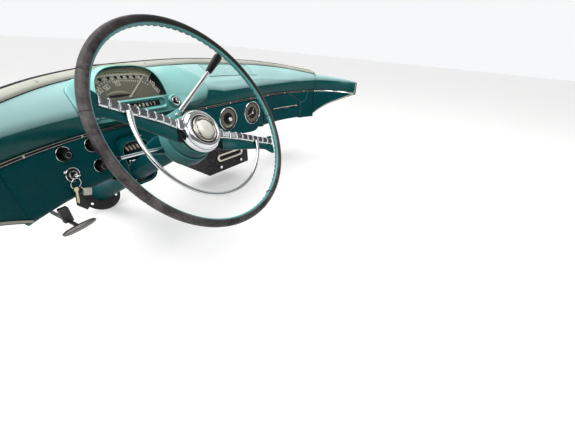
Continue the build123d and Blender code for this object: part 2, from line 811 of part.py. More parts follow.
with BuildPart() as toe_plate:
    with BuildSketch(column.offset(TOE)):
        Circle(JACKET_R + 35)
        Circle(JACKET_R, mode=Mode.SUBTRACT)
        with PolarLocations(JACKET_R + 21, 3, start_angle=90):
            Circle(BOLT_R, mode=Mode.SUBTRACT)
    extrude(amount=3)
save(toe_plate.part, "toe_plate")

# Surround where the column passes the lower pressing, with the vent control above it

with BuildPart() as column_surround:
    with BuildSketch(Plane.XZ.offset(-STRIP_Y + 26)):
        with Locations(SURROUND_MID):
            RectangleRounded(*SURROUND_SIZE, 20)
            RectangleRounded(*[size - 2 * SURROUND_WALL for size in SURROUND_SIZE], 14, mode=Mode.SUBTRACT)
    extrude(amount=-26)
    add(in_panel(-450, -200), mode=Mode.SUBTRACT)
    with BuildSketch(column):
        Circle(JACKET_R + 0.5)
    extrude(amount=TOE, mode=Mode.SUBTRACT)
save(column_surround.part, "column_surround")

with BuildPart() as column_bracket:
    with BuildSketch(column.offset(-408)):
        Circle(JACKET_R + 5)
    extrude(amount=24)
    with BuildSketch(Plane.XY.offset(PANEL_BOTTOM - 3)):
        with Locations((WHEEL_AT[0] + 6, STRIP_Y + 8)):
            Rectangle(140, 26)
    extrude(amount=3)
    with BuildSketch(column):
        Circle(JACKET_R)
    extrude(amount=TOE, mode=Mode.SUBTRACT)
    add(column_surround.part, mode=Mode.SUBTRACT)
    add(lower_panel.part, mode=Mode.SUBTRACT)
save(column_bracket.part, "column_bracket")

surround_top = SURROUND_MID[1] + SURROUND_SIZE[1] / 2
with BuildPart() as vent_control:
    with BuildSketch(Plane.XZ.offset(-STRIP_Y + 8)):
        with Locations((SURROUND_MID[0], surround_top - 34)):
            RectangleRounded(SURROUND_SIZE[0] - 2 * SURROUND_WALL - 2, 56, 14)
    extrude(amount=-6)
    with BuildSketch(Plane.XZ.offset(-STRIP_Y + 14)):
        with Locations((SURROUND_MID[0], surround_top - 22)):
            with GridLocations(10, 0, 6, 1):
                Rectangle(3, 16)
    extrude(amount=-6)
    add(lower_panel.part, mode=Mode.SUBTRACT)
save(vent_control.part, "vent_control")

# Brake pull under the driver's end

BRAKE_AT = (-585.0, -244.0, -312.0)
with BuildPart() as brake_pull:
    grip_start = (BRAKE_AT[0] - 36, BRAKE_AT[1], BRAKE_AT[2])
    with BuildSketch(Plane(origin=grip_start, x_dir=(0, 1, 0), z_dir=(1, 0, 0))):
        Ellipse(6, 9)
    extrude(amount=72)
    with BuildSketch(Plane(origin=BRAKE_AT, x_dir=(1, 0, 0), z_dir=(0, 1, 0))):
        Circle(5)
    extrude(amount=120)
    with BuildSketch(Plane.XY.offset(BRAKE_AT[2])):
        with Locations((BRAKE_AT[0], line_y(BRAKE_AT[0]) + 9)):
            Rectangle(20, 9)
    extrude(amount=PANEL_BOTTOM - BRAKE_AT[2])
save(brake_pull.part, "brake_pull")

# Steering wheel and shaft, the turning body

with BuildPart() as steering_shaft:
    with BuildSketch(column.offset(SHAFT_END)):
        Circle(SHAFT_TIP_R)
    extrude(amount=SHAFT_TIP)
    with BuildSketch(column.offset(SHAFT_END + SHAFT_TIP)):
        Circle(SHAFT_R)
    extrude(amount=-SHAFT_END - SHAFT_TIP - HUB_DEPTH)
save(steering_shaft.part, "steering_shaft")

with BuildPart() as wheel_rim:
    with BuildSketch(Plane(origin=wheel.origin, x_dir=wheel.x_dir, z_dir=wheel.y_dir)):
        with Locations((RIM_R, 0)):
            Circle(RIM_TUBE_R)
    revolve(axis=Axis(wheel.origin, wheel.z_dir))
save(wheel_rim.part, "wheel_rim")

with BuildPart() as horn_cup:
    with Locations(wheel.offset(-HUB_DEPTH)):
        Cone(45, CUP_R, HUB_DEPTH - CUP_WAIST, align=(Align.CENTER, Align.CENTER, Align.MIN))
    with Locations(wheel.offset(-CUP_WAIST)):
        Cone(CUP_R, 37, CUP_WAIST - CUP_DEPTH, align=(Align.CENTER, Align.CENTER, Align.MIN))
save(horn_cup.part, "horn_cup")

# The front of the chrome ladder falls from the rim to the hub: distance from the axis, height.
DISH = ((0, -33), (46, -30), (96, -16), (170, -8), (RIM_R - 12, -3))
WING_DROP = 8.0             # the painted wing lies this far behind the ladder's front
LADDER_W, LADDER_WIDTH = 3.0, 19.0
RIBS = 9
RIB_FROM, RIB_TO = CUP_R, RIM_R - 14
RIB_PITCH = (RIB_TO - RIB_FROM) / RIBS
wheel_side = Plane(origin=wheel.origin, x_dir=wheel.x_dir, z_dir=-wheel.y_dir)


def dish_band(low, high):
    """The band between two heights over the dish, as wide as the wheel needs."""
    edge = DISH + ((RIM_R, DISH[-1][1]),)
    with BuildPart() as band:
        for side in (-1, 1):
            over = [(side * u, h + high) for u, h in edge]
            under = [(side * u, h + low) for u, h in reversed(edge)]
            with BuildSketch(wheel_side):
                with BuildLine():
                    Polyline(*over, *under, close=True)
                make_face()
            extrude(amount=60, both=True)
    return band.part


wing_band = dish_band(-WING_DROP - 4, -WING_DROP)
ladder_band = dish_band(-WING_DROP, -3)
bar_band = dish_band(-4, 0)

with BuildPart() as wheel_spokes:
    with BuildSketch(wheel.offset(-HUB_DEPTH)):
        Circle(58)
        with BuildLine():
            Polyline((-RIM_R, 14), (0, 20), (RIM_R, 14), (RIM_R, -12), (155, -24), (60, -32),
                     (-60, -32), (-155, -24), (-RIM_R, -12), close=True)
        make_face()
        Circle(RIM_R, mode=Mode.INTERSECT)
        Circle(30, mode=Mode.SUBTRACT)
    extrude(amount=HUB_DEPTH)
    add(wing_band, mode=Mode.INTERSECT)
    with BuildSketch(wheel_side):
        with Locations((RIM_R, 0)):
            Circle(RIM_TUBE_R)
    revolve(axis=Axis(wheel.origin, wheel.z_dir), mode=Mode.SUBTRACT)
    add(horn_cup.part, mode=Mode.SUBTRACT)
save(wheel_spokes.part, "wheel_spokes")

with BuildPart() as spoke_ribs:
    for side in (-1, 1):
        with BuildSketch(wheel.offset(-HUB_DEPTH)):
            with Locations((side * (RIB_FROM + RIB_TO) / 2, LADDER_W)):
                Rectangle(RIB_TO - RIB_FROM, LADDER_WIDTH)
        extrude(amount=HUB_DEPTH)
    add(ladder_band, mode=Mode.INTERSECT)
    with BuildPart() as bars:
        for side in (-1, 1):
            for k in range(RIBS + 1):
                with BuildSketch(wheel.offset(-HUB_DEPTH)):
                    with Locations((side * min(RIB_FROM + k * RIB_PITCH + 1.5, RIB_TO - 1.5), LADDER_W)):
                        Rectangle(3, LADDER_WIDTH + 1)
                extrude(amount=HUB_DEPTH)
        add(bar_band, mode=Mode.INTERSECT)
save(spoke_ribs.part, "spoke_ribs")

with BuildPart() as horn_ring:
    with BuildSketch(wheel_side):
        with Locations((HORN_R, HORN_H)):
            Ellipse(4.5, 3)
    revolve(axis=Axis(wheel.origin, wheel.z_dir), revolution_arc=-180)
    with BuildSketch(wheel.offset(-HUB_DEPTH)):
        with Locations((0, LADDER_W)):
            Rectangle(2 * RIM_R, LADDER_WIDTH + 1.0)
    extrude(amount=HUB_DEPTH, mode=Mode.SUBTRACT)
save(horn_ring.part, "horn_ring")

with BuildPart() as horn_button:
    with BuildSketch(wheel.offset(-CUP_DEPTH)):
        Circle(34)
    extrude(amount=3)
    with Locations(wheel.offset(3 - CUP_DEPTH)):
        Cone(28, 20, 6, align=(Align.CENTER, Align.CENTER, Align.MIN))
save(horn_button.part, "horn_button")
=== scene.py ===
"""Looks of the dashboard of a 1950s saloon, with its steering column and steering wheel.

Lengths are millimetres in the row frame and become metres where a mesh is made:
+X to the passenger side, +Y to the front of the car, +Z up.
"""

from math import asin, cos, exp, hypot, pi, radians, sin, sqrt, tau

import bpy
from mathutils import Matrix, Vector

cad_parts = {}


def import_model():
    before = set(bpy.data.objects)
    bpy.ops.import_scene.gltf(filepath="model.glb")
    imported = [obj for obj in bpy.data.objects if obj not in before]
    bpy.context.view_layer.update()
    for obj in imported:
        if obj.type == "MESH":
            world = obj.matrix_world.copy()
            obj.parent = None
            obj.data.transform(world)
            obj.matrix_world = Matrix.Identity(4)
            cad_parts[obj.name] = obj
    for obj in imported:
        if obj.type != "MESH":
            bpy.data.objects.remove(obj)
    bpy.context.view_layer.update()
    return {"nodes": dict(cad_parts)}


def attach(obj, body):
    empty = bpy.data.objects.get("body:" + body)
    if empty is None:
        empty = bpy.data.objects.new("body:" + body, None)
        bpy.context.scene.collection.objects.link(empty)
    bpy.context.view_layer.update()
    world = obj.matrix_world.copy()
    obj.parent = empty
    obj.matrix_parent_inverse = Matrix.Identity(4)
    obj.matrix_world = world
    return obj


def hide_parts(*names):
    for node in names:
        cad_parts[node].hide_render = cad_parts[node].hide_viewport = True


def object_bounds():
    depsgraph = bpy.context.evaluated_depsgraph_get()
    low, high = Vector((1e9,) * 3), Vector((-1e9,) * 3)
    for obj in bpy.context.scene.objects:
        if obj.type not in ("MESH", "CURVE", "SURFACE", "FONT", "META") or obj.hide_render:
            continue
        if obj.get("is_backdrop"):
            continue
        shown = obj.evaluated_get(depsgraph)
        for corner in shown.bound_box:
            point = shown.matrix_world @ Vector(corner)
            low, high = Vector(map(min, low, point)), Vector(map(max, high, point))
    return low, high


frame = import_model()

MM = 0.001
SIDES = {-1: "left", 1: "right"}

# Sizes shared with the construction
STRIP_Z, STRIP_Y, STRIP_H = -133.0, -148.0, 8.0
BEND_X, BEND_R = 300.0, 720.0
SEAM_X = 657.0
LIP_DEPTH = 16.0
CAP_R = 204.0
RIM_R, HORN_R = 218.0, 152.0
DOOR_X = (300.0, SEAM_X - 91.0)

# Rows across the dashboard: x, depth of the roll, top edge z, roundness, depth of the flange, flange z
ROLL_ROWS = (
    (0, 92, 0, 26, 165, -4),
    (300, 66, -8, 24, 165, -4),
    (480, 36, -22, 19, 116, -24),
    (600, 15, -39, 13, 83, -41),
    (SEAM_X, 4, -49, 10, 68, -51),
)
LEDGE = 34.0


class Place:
    """A local frame on the object: u to the right, w up and h toward the driver."""

    def __init__(self, origin, u, h):
        self.origin = Vector(origin)
        self.u = Vector(u).normalized()
        self.h = Vector(h).normalized()
        self.w = self.h.cross(self.u)

    def at(self, u, w, h=0.0):
        return self.origin + self.u * u + self.w * w + self.h * h

    def polar(self, radius, angle, h=0.0):
        return self.at(radius * cos(angle), radius * sin(angle), h)

    def moved(self, u, w, h=0.0, spin=0.0):
        return Place(self.at(u, w, h), self.u * cos(spin) + self.w * sin(spin), self.h)


def yawed(origin, yaw):
    """A place facing the driver and turned a little about the upright."""
    return Place(origin, (cos(yaw), -sin(yaw), 0), (-sin(yaw), -cos(yaw), 0))


RAKE, TURN = radians(30.6), radians(-25.0)
COLUMN = Place((-371, -485, -75), (1, 0, 0), (0, -cos(RAKE), sin(RAKE)))
WHEEL = COLUMN.moved(0, 0, 0, TURN)
LEAN = radians(20.0)
CLUSTER = Place((-320, -165, -85), (1, 0, 0), (0, -cos(LEAN), sin(LEAN)))
POD = yawed((115, -164, -187), radians(6.0))
RADIO, CLOCK = POD.moved(-73.5, -2.5), POD.moved(65.0, 0.5)
UNIT = yawed((2, -176, -340), radians(5.0))


# Curves of the pressings

def smooth(t):
    t = min(max(t, 0.0), 1.0)
    return t * t * (3 - 2 * t)


def mix(a, b, t):
    return a + (b - a) * t


def steps_between(a, b, steps):
    """Even steps from a to b, both included."""
    return [mix(a, b, i / steps) for i in range(steps + 1)]


def line_y(x):
    """Depth of the strip's line across the dashboard."""
    past = max(abs(x) - BEND_X, 0.0)
    return STRIP_Y - BEND_R + sqrt(BEND_R**2 - past**2)


def row_at(x):
    """Roll sizes at x, eased between the rows: depth, top z, roundness, flange depth, flange z."""
    x = abs(x)
    k = next(i for i, row in enumerate(ROLL_ROWS[1:]) if x <= row[0] or i == len(ROLL_ROWS) - 2)
    low, high = ROLL_ROWS[k], ROLL_ROWS[k + 1]
    before = ROLL_ROWS[k - 1] if k else (-high[0],) + high[1:]
    after = ROLL_ROWS[k + 2] if k + 2 < len(ROLL_ROWS) else None
    step = high[0] - low[0]
    t = (x - low[0]) / step
    values = []
    for i in range(1, 6):
        slope_low = (high[i] - before[i]) / (high[0] - before[0]) * step
        slope_high = (after[i] - low[i]) / (after[0] - low[0]) * step if after else high[i] - low[i]
        values.append((2 * t**3 - 3 * t**2 + 1) * low[i] + (t**3 - 2 * t**2 + t) * slope_low
                      + (-2 * t**3 + 3 * t**2) * high[i] + (t**3 - t**2) * slope_high)
    return values


def roll_point(x, k, proud=0.0):
    """A point on the upper pressing: k is 0 at the strip, 1 at its top edge and 2 at the flange."""
    depth, top_z, bulge, flange_depth, flange_z = row_at(x)
    low = Vector((line_y(x), STRIP_Z + STRIP_H / 2))
    top = Vector((line_y(x) + depth, top_z))
    if k <= 1:
        chord = top - low
        along, out = chord.normalized(), Vector((-chord.y, chord.x)).normalized()
        half = chord.length / 2
        radius = (half * half + bulge * bulge) / (2 * bulge)
        sweep = asin(min(half / radius, 1.0))
        angle = mix(-sweep, sweep, k)
        centre = (low + top) / 2 - out * (radius - bulge)
        p = centre + (along * sin(angle) + out * cos(angle)) * (radius + proud)
    else:
        end = Vector((line_y(x) + flange_depth, flange_z))
        ledge = Vector((line_y(x) + flange_depth - LEDGE, flange_z))
        p = top.lerp(ledge, (k - 1) / 0.6) if k < 1.6 else ledge.lerp(end, (k - 1.6) / 0.4)
        p = p + Vector((0, proud))
    return Vector((x, p.x, p.y))


def face_place(x, z, proud=0.0):
    """A frame on the lower pressing at x and z, facing the driver."""
    past = max(abs(x) - BEND_X, 0.0)
    turn = asin(past / BEND_R) * (1 if x > 0 else -1)
    return yawed((x, line_y(x), z), turn).moved(0, 0, proud)


def face_line(points, proud):
    """Points on the lower pressing, from pairs of x and z."""
    return [face_place(x, z, proud).origin for x, z in points]


# Mesh helpers

class Shape:
    """Points and faces gathered for one piece."""

    def __init__(self):
        self.verts, self.faces = [], []

    def grid(self, rows, close_u=False, close_v=False, flip=False, ends=False):
        """A sheet through rows of points. Ends closes the first and the last row of a bar."""
        start = len(self.verts)
        wide, tall = len(rows[0]), len(rows)
        for row in rows:
            self.verts.extend(row)
        for i in range(tall if close_v else tall - 1):
            for j in range(wide if close_u else wide - 1):
                a = start + i * wide + j
                b = start + i * wide + (j + 1) % wide
                c = start + ((i + 1) % tall) * wide + (j + 1) % wide
                d = start + ((i + 1) % tall) * wide + j
                self.faces.append((d, c, b, a) if flip else (a, b, c, d))
        if ends:
            self.fan(rows[0], flip=not flip)
            self.fan(rows[-1], flip=flip)
        return self

    def fan(self, ring, centre=None, flip=False):
        """Closes a ring of points."""
        start = len(self.verts)
        self.verts.extend(ring)
        n = len(ring)
        if centre is None:
            face = tuple(range(start, start + n))
            self.faces.append(face[::-1] if flip else face)
            return self
        self.verts.append(centre)
        for j in range(n):
            a, b = start + j, start + (j + 1) % n
            self.faces.append((b, a, start + n) if flip else (a, b, start + n))
        return self

    def lathe(self, place, profile, steps=48):
        """A turned shape: profile is radius and height pairs, from the back to the axis in front."""
        return self.grid([[place.polar(max(radius, 0.01), tau * j / steps, height) for j in range(steps)]
                          for radius, height in profile], close_u=True)

    def tube(self, points, radius, steps=12, caps=True):
        """A round bar along points. Radius is one value or one for each point."""
        points = [Vector(p) for p in points]
        n = len(points)
        radii = radius if isinstance(radius, (list, tuple)) else [radius] * n
        side = (points[1] - points[0]).normalized().orthogonal().normalized()
        rows = []
        for i, p in enumerate(points):
            ahead = (points[min(i + 1, n - 1)] - points[max(i - 1, 0)]).normalized()
            side = (side - ahead * side.dot(ahead)).normalized()
            up = ahead.cross(side)
            rows.append([p + (side * cos(tau * j / steps) + up * sin(tau * j / steps)) * radii[i]
                         for j in range(steps)])
        return self.grid(rows, close_u=True, ends=caps)

    def plate(self, outline, place, low, high, bevel=0.0):
        """A flat plate from an outline of u and w pairs, with a rounded front edge."""
        steps = 5 if bevel else 0
        middle = Vector((sum(p[0] for p in outline), sum(p[1] for p in outline))) / len(outline)
        rows = [[place.at(u, w, low) for u, w in outline]]
        for i in range(steps + 1):
            angle = pi / 2 * i / max(steps, 1)
            inset = bevel * (1 - cos(angle))
            height = high - bevel + bevel * sin(angle)
            rows.append([place.at(u, w, height) for u, w in shrink(outline, inset)])
        self.grid(rows, close_u=True)
        self.fan(rows[-1], place.at(middle.x, middle.y, high))
        return self.fan(rows[0], place.at(middle.x, middle.y, low), flip=True)

    def make(self, name, material, body="dashboard", replaced=(), angle=35, sheet=0.0):
        """The piece itself. Sheet is the thickness of pressed metal in millimetres, added behind."""
        mesh = bpy.data.meshes.new(name)
        mesh.from_pydata([Vector(v) * MM for v in self.verts], [], self.faces)
        mesh.validate()
        piece = bpy.data.objects.new(name, mesh)
        bpy.context.scene.collection.objects.link(piece)
        mesh.materials.append(material)
        mesh.polygons.foreach_set("use_smooth", [True] * len(mesh.polygons))
        mesh.set_sharp_from_angle(angle=radians(angle))
        mesh.update()
        if sheet:
            metal = piece.modifiers.new("metal", "SOLIDIFY")
            metal.thickness = sheet * MM
        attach(piece, body)
        if replaced:
            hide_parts(*replaced)


def turned(name, material, place, profile, steps, **options):
    """A piece that is one turned shape."""
    Shape().lathe(place, profile, steps).make(name, material, **options)


def shrink(outline, inset):
    """The outline moved inward by inset, along its corners' normals."""
    if not inset:
        return outline
    n = len(outline)
    moved = []
    for i, (u, w) in enumerate(outline):
        before, here, after = Vector(outline[i - 1]), Vector((u, w)), Vector(outline[(i + 1) % n])
        a, b = (here - before).normalized(), (after - here).normalized()
        normal = Vector((-(a.y + b.y), a.x + b.x))
        if normal.length < 1e-6:
            normal = Vector((-a.y, a.x))
        normal.normalize()
        reach = inset / max(normal.dot(Vector((-a.y, a.x))), 0.4)
        moved.append((u + normal.x * reach, w + normal.y * reach))
    return moved


def arc(half_u, half_w, start, sweep, steps, middle=(0.0, 0.0)):
    """Points along an ellipse as u and w pairs, both ends included."""
    angles = [start + sweep * i / steps for i in range(steps + 1)]
    return [(middle[0] + half_u * cos(a), middle[1] + half_w * sin(a)) for a in angles]


def rounded_box(width, height, radius, steps=6, middle=(0.0, 0.0)):
    """A rounded rectangle as u and w pairs, anticlockwise."""
    points = []
    for k, (su, sw) in enumerate(((1, 1), (-1, 1), (-1, -1), (1, -1))):
        corner = (middle[0] + su * (width / 2 - radius), middle[1] + sw * (height / 2 - radius))
        points += arc(radius, radius, pi / 2 * k, pi / 2, steps, corner)
    return points


def spline(points, steps=8):
    """A smooth line through points."""
    points = [Vector(p) for p in points]
    ends = [2 * points[0] - points[1]] + points + [2 * points[-1] - points[-2]]
    line = []
    for i in range(1, len(ends) - 2):
        p0, p1, p2, p3 = ends[i - 1:i + 3]
        for s in range(steps):
            t = s / steps
            line.append(0.5 * (2 * p1 + (p2 - p0) * t + (2 * p0 - 5 * p1 + 4 * p2 - p3) * t * t
                               + (3 * p1 - p0 - 3 * p2 + p3) * t**3))
    return line + [points[-1]]


# Materials

def srgb(red, green, blue):
    """A colour given as 0 to 255 values, as the shader takes it."""
    return tuple((c / 12.92 if c <= 0.04045 else ((c + 0.055) / 1.055)**2.4)
                 for c in (red / 255, green / 255, blue / 255)) + (1.0,)


def darker(colour, share):
    return tuple(c * share for c in colour[:3]) + (1.0,)


class Nodes:
    """A node tree under construction. A value is a number, a colour or another node's output."""

    def __init__(self, tree):
        self.tree = tree

    def feed(self, socket, value):
        if isinstance(value, bpy.types.NodeSocket):
            self.tree.links.new(value, socket)
        else:
            socket.default_value = value

    def node(self, kind, output, values=None, **settings):
        """Adds a node with its settings and the values of its inputs, and gives one of its outputs."""
        made = self.tree.nodes.new("ShaderNode" + kind)
        for key, value in settings.items():
            setattr(made, key, value)
        for key, value in (values or {}).items():
            self.feed(made.inputs[key], value)
        return made.outputs[output]

    def part(self, vector, axis):
        """X, Y or Z of a vector."""
        return self.node("SeparateXYZ", axis, {"Vector": vector})

    def span(self, value, low, high, to_low=0.0, to_high=1.0, easing="LINEAR"):
        """Value taken from one range to another, and held inside it."""
        return self.node("MapRange", "Result", {"Value": value, "From Min": low, "From Max": high,
                                                "To Min": to_low, "To Max": to_high},
                         interpolation_type=easing)

    def calc(self, a, operation, b):
        return self.node("Math", "Value", {0: a, 1: b}, operation=operation)

    def blend(self, factor, a, b):
        """From colour a at 0 to colour b at 1. The numbers are the colour sockets of the node."""
        return self.node("Mix", 2, {"Factor": factor, 6: a, 7: b}, data_type="RGBA")

    def seen(self):
        """1 for what the camera sees, also in metal and through glass, and 0 for light on its way."""
        camera, glossy, through = (self.node("LightPath", f"Is {kind} Ray")
                                   for kind in ("Camera", "Glossy", "Transmission"))
        return self.calc(self.calc(camera, "MAXIMUM", glossy), "MAXIMUM", through)


class Finish(Nodes):
    """A procedural material. Its textures use the piece's own coordinates, in metres."""

    def __init__(self, name, metallic=0.0, rough=0.5, coat=0.0, specular=0.5):
        self.material = bpy.data.materials.new(name)
        self.material.use_nodes = True
        super().__init__(self.material.node_tree)
        self.where = self.node("TexCoord", "Object")
        for socket, value in (("Metallic", metallic), ("Roughness", rough), ("Coat Weight", coat),
                              ("Coat Roughness", 0.06), ("Specular IOR Level", specular)):
            self.set(socket, value)

    def set(self, socket, value):
        self.feed(self.tree.nodes["Principled BSDF"].inputs[socket], value)

    def noise(self, scale, detail=4.0, roughness=0.5, where=None):
        return self.node("TexNoise", "Fac", {"Vector": where or self.where, "Scale": scale,
                                             "Detail": detail, "Roughness": roughness})

    def cells(self, scale, feature="F1"):
        return self.node("TexVoronoi", "Distance", {"Vector": self.where, "Scale": scale}, feature=feature)

    def facing_up(self, low, high):
        """1 where the surface faces up, 0 where it is upright or faces down."""
        return self.span(self.part(self.node("NewGeometry", "Normal"), "Z"), low, high)

    def painted_light_above_crease(self):
        """Where the painted light lies on the roll: 0 under its crease, where the painted shade stays, and
        rising from a clear edge to 1 over the first 17 mm above it.

        The crease runs 88 mm below the frame's origin, higher behind the wheel and at the passenger's end.
        """
        x = self.part(self.where, "X")
        from_hood = self.calc(x, "ADD", 0.12)
        hump = self.span(self.calc(from_hood, "MULTIPLY", from_hood), 0.0, 0.03, 0.017, 0.0)
        end = self.span(x, 0.38, 0.66, 0.0, 0.0095)
        line = self.calc(self.calc(hump, "ADD", end), "SUBTRACT", 0.088)
        over = self.calc(self.part(self.where, "Z"), "SUBTRACT", line)
        edge = self.span(over, -0.001, 0.001, 0.0, 0.35)
        rise = self.span(over, 0.0, 0.017, 0.0, 0.65)
        return self.calc(self.calc(edge, "ADD", rise), "MULTIPLY", self.facing_up(-0.2, 0.05))

    def done(self, tone, rough=None, *bumps):
        """Sets colour, roughness and bumps. Each bump is height, strength and depth in metres."""
        self.set("Base Color", tone)
        if rough:
            self.set("Roughness", rough)
        normal = None
        for value, strength, depth in bumps:
            under = {"Normal": normal} if normal else {}
            normal = self.node("Bump", "Normal", {"Strength": strength, "Distance": depth,
                                                  "Height": value, **under})
        if normal:
            self.set("Normal", normal)
        return self.material


def enamel(name, colour, rough=0.2, coat=0.7, primer=(0.12, 0.13, 0.12, 1.0), wear=0.6, specular=0.5,
           shaded=None, painted_light_span=(0.2, 0.66), shade_under_crease=False):
    """Sprayed gloss enamel: slight mottling, orange peel, fine dust and worn edges.

    The shaded colour is painted shade on faces that turn down or away from the light, and the given colour
    is painted light on faces that turn up; on a creased roll the painted shade lies under the crease and the
    painted light above it.
    """
    f = Finish(name, rough=rough, coat=coat, specular=specular)
    mottle = f.span(f.noise(3.5, 5.0), 0.3, 0.7)
    tone = f.blend(mottle, darker(colour, 1.06), darker(colour, 0.86))
    # Painted light and shade: the shaded colour where the surface turns from the light, the given colour
    # where it turns up.
    if shaded:
        deep = f.blend(mottle, darker(shaded, 1.1), darker(shaded, 0.85))
        tone = f.blend(f.painted_light_above_crease() if shade_under_crease else f.facing_up(*painted_light_span), deep, tone)
    dust = f.span(f.noise(620.0, 2.0, 0.7), 0.6, 0.78, 0.0, 0.16)
    tone = f.blend(dust, tone, (0.55, 0.56, 0.52, 1.0))
    edges = f.span(f.node("NewGeometry", "Pointiness"), 0.545, 0.62)
    chips = f.calc(edges, "MULTIPLY", f.span(f.noise(85.0, 8.0, 0.7), 0.5, 0.62, 0.0, wear))
    return f.done(f.blend(chips, tone, primer),
                  f.span(f.noise(24.0, 6.0), 0.3, 0.75, rough - 0.05, rough + 0.16),
                  (f.noise(190.0, 2.0), 0.05, 0.0006), (f.noise(14.0, 2.0), 0.05, 0.004))


def plated(name, colour=(0.66, 0.67, 0.68, 1.0), rough=0.07, pits=0.5):
    """Old chrome plate: bright, with haze, pits and a brown tinge in places."""
    f = Finish(name, metallic=1.0, rough=rough)
    haze = f.span(f.noise(18.0, 6.0, 0.6), 0.35, 0.75)
    spots = f.span(f.noise(420.0, 3.0, 0.8), 0.66, 0.78, 0.0, pits)
    tone = f.blend(spots, f.blend(haze, colour, darker(colour, 0.86)), (0.13, 0.1, 0.075, 1.0))
    return f.done(tone, f.span(f.noise(46.0, 8.0, 0.65), 0.3, 0.8, rough * 0.5, rough + 0.13),
                  (f.noise(310.0, 4.0, 0.7), 0.06, 0.0004), (f.noise(30.0, 1.0), 0.04, 0.0015))


def moulded(name, colour, second, rough=0.4, scale=160.0, coat=0.0, specular=0.5):
    """Moulded plastic or rubber with a fine grain and handling marks."""
    f = Finish(name, rough=rough, coat=coat, specular=specular)
    scuffs = f.span(f.noise(70.0, 9.0, 0.75), 0.56, 0.7, 0.0, 0.45)
    tone = f.blend(f.span(f.noise(11.0, 6.0, 0.6), 0.35, 0.7), colour, second)
    return f.done(f.blend(scuffs, tone, darker(second, 1.8)),
                  f.span(f.noise(34.0, 6.0), 0.3, 0.7, rough - 0.1, rough + 0.15),
                  (f.noise(scale * 6, 3.0, 0.6), 0.12, 0.0004), (f.cells(scale), 0.05, 0.0006))


def patchy_rim(name):
    """The rim's dark plastic, greyed in patches toward its left end and its lower part, with fine crazing.
    """
    f = Finish(name, rough=0.42, specular=0.3)
    black, brown, grey = srgb(16, 14, 15), srgb(34, 29, 29), srgb(104, 97, 97)
    tone = f.blend(f.span(f.noise(16.0, 6.0, 0.65), 0.35, 0.7), black, brown)
    left = f.span(f.part(f.where, "X"), -0.40, -0.56)
    low = f.span(f.part(f.where, "Z"), -0.02, -0.16, 0.0, 0.75)
    grey_patches = f.calc(f.calc(left, "MAXIMUM", low), "MULTIPLY", f.span(f.noise(28.0, 7.0, 0.7), 0.36, 0.66))
    cracks = f.span(f.cells(75.0, "DISTANCE_TO_EDGE"), 0.0, 0.018, 0.35, 0.0)
    return f.done(f.blend(cracks, f.blend(grey_patches, tone, grey), darker(black, 0.5)),
                  f.span(f.noise(40.0, 8.0, 0.7), 0.3, 0.75, 0.3, 0.56),
                  (f.noise(650.0, 4.0, 0.7), 0.18, 0.0003), (f.noise(42.0, 5.0), 0.12, 0.0012))


def dial_print(name, low, high):
    """Matt olive-grey dial paint, lighter toward the top, with a fine brushed grain."""
    f = Finish(name, rough=0.5)
    rise = f.span(f.part(f.where, "Z"), -0.08, 0.012)
    brushed = f.node("Mapping", "Vector", {"Vector": f.where, "Scale": (1.0, 12.0, 12.0)})
    grain = f.span(f.noise(40.0, 4.0, 0.6, brushed), 0.3, 0.7, 0.0, 0.35)
    tone = f.blend(grain, f.blend(rise, low, high), darker(high, 0.62))
    return f.done(tone, None, (f.noise(900.0, 2.0), 0.08, 0.0002))


def glass(name):
    """Clear cover glass, with a little dust."""
    f = Finish(name, rough=0.04)
    f.set("Alpha", 0.05)
    dust = f.span(f.noise(320.0, 3.0, 0.7), 0.6, 0.8, 0.0, 0.3)
    return f.done(f.blend(dust, (0.2, 0.21, 0.21, 1.0), (0.5, 0.5, 0.46, 1.0)),
                  f.span(f.noise(60.0, 5.0), 0.4, 0.8, 0.01, 0.12))


def steel(name, colour=(0.34, 0.34, 0.33, 1.0), rough=0.38, rust=0.5):
    """Bare or plated steel gone dull, with light rust."""
    f = Finish(name, metallic=0.85, rough=rough)
    tone = f.blend(f.span(f.noise(60.0, 6.0, 0.6), 0.3, 0.75), colour, darker(colour, 0.6))
    stain = f.span(f.noise(22.0, 9.0, 0.72), 0.56, 0.7, 0.0, rust)
    return f.done(f.blend(stain, tone, (0.13, 0.055, 0.025, 1.0)),
                  f.span(f.noise(90.0, 6.0), 0.3, 0.75, rough - 0.1, rough + 0.25),
                  (f.noise(380.0, 5.0, 0.7), 0.12, 0.0005))


# Painted light and shade: the sea green, hood and roll enamels take a colour brightened past the paint as
# painted light on faces that turn up, and a deeper colour as painted shade on the rest.
SEA_GREEN = enamel("sea_green_enamel", srgb(150, 226, 220), coat=0.15, specular=0.35,
                   shaded=srgb(34, 112, 110))
HOOD_GREEN = enamel("hood_enamel", srgb(172, 238, 233), coat=0.1, specular=0.25, shaded=srgb(26, 98, 96),
                    painted_light_span=(0.02, 0.4))
ROLL_GREEN = enamel("roll_enamel", srgb(206, 253, 251), coat=0.05, specular=0.16, shaded=srgb(12, 90, 89),
                    shade_under_crease=True)
DEEP_TEAL = enamel("deep_teal_enamel", srgb(0, 82, 88), rough=0.4, coat=0.0, wear=0.05, specular=0.06)
# Lighter teal lines laid along pressed edges, as painted highlights.
TEAL_HIGHLIGHT = enamel("teal_edge_highlight", srgb(104, 150, 150), rough=0.35, coat=0.2, specular=0.3)
# Painted light and shade: the column's enamel is lighter on faces that turn up and darker, as painted shade,
# on its lower side.
COLUMN_TEAL = enamel("column_enamel", srgb(104, 172, 170), rough=0.36, coat=0.0, wear=0.4, specular=0.12,
                     shaded=srgb(6, 74, 76), painted_light_span=(-0.8, 0.35))
WHEEL_TEAL = enamel("wheel_enamel", srgb(78, 162, 161), rough=0.26, coat=0.5)
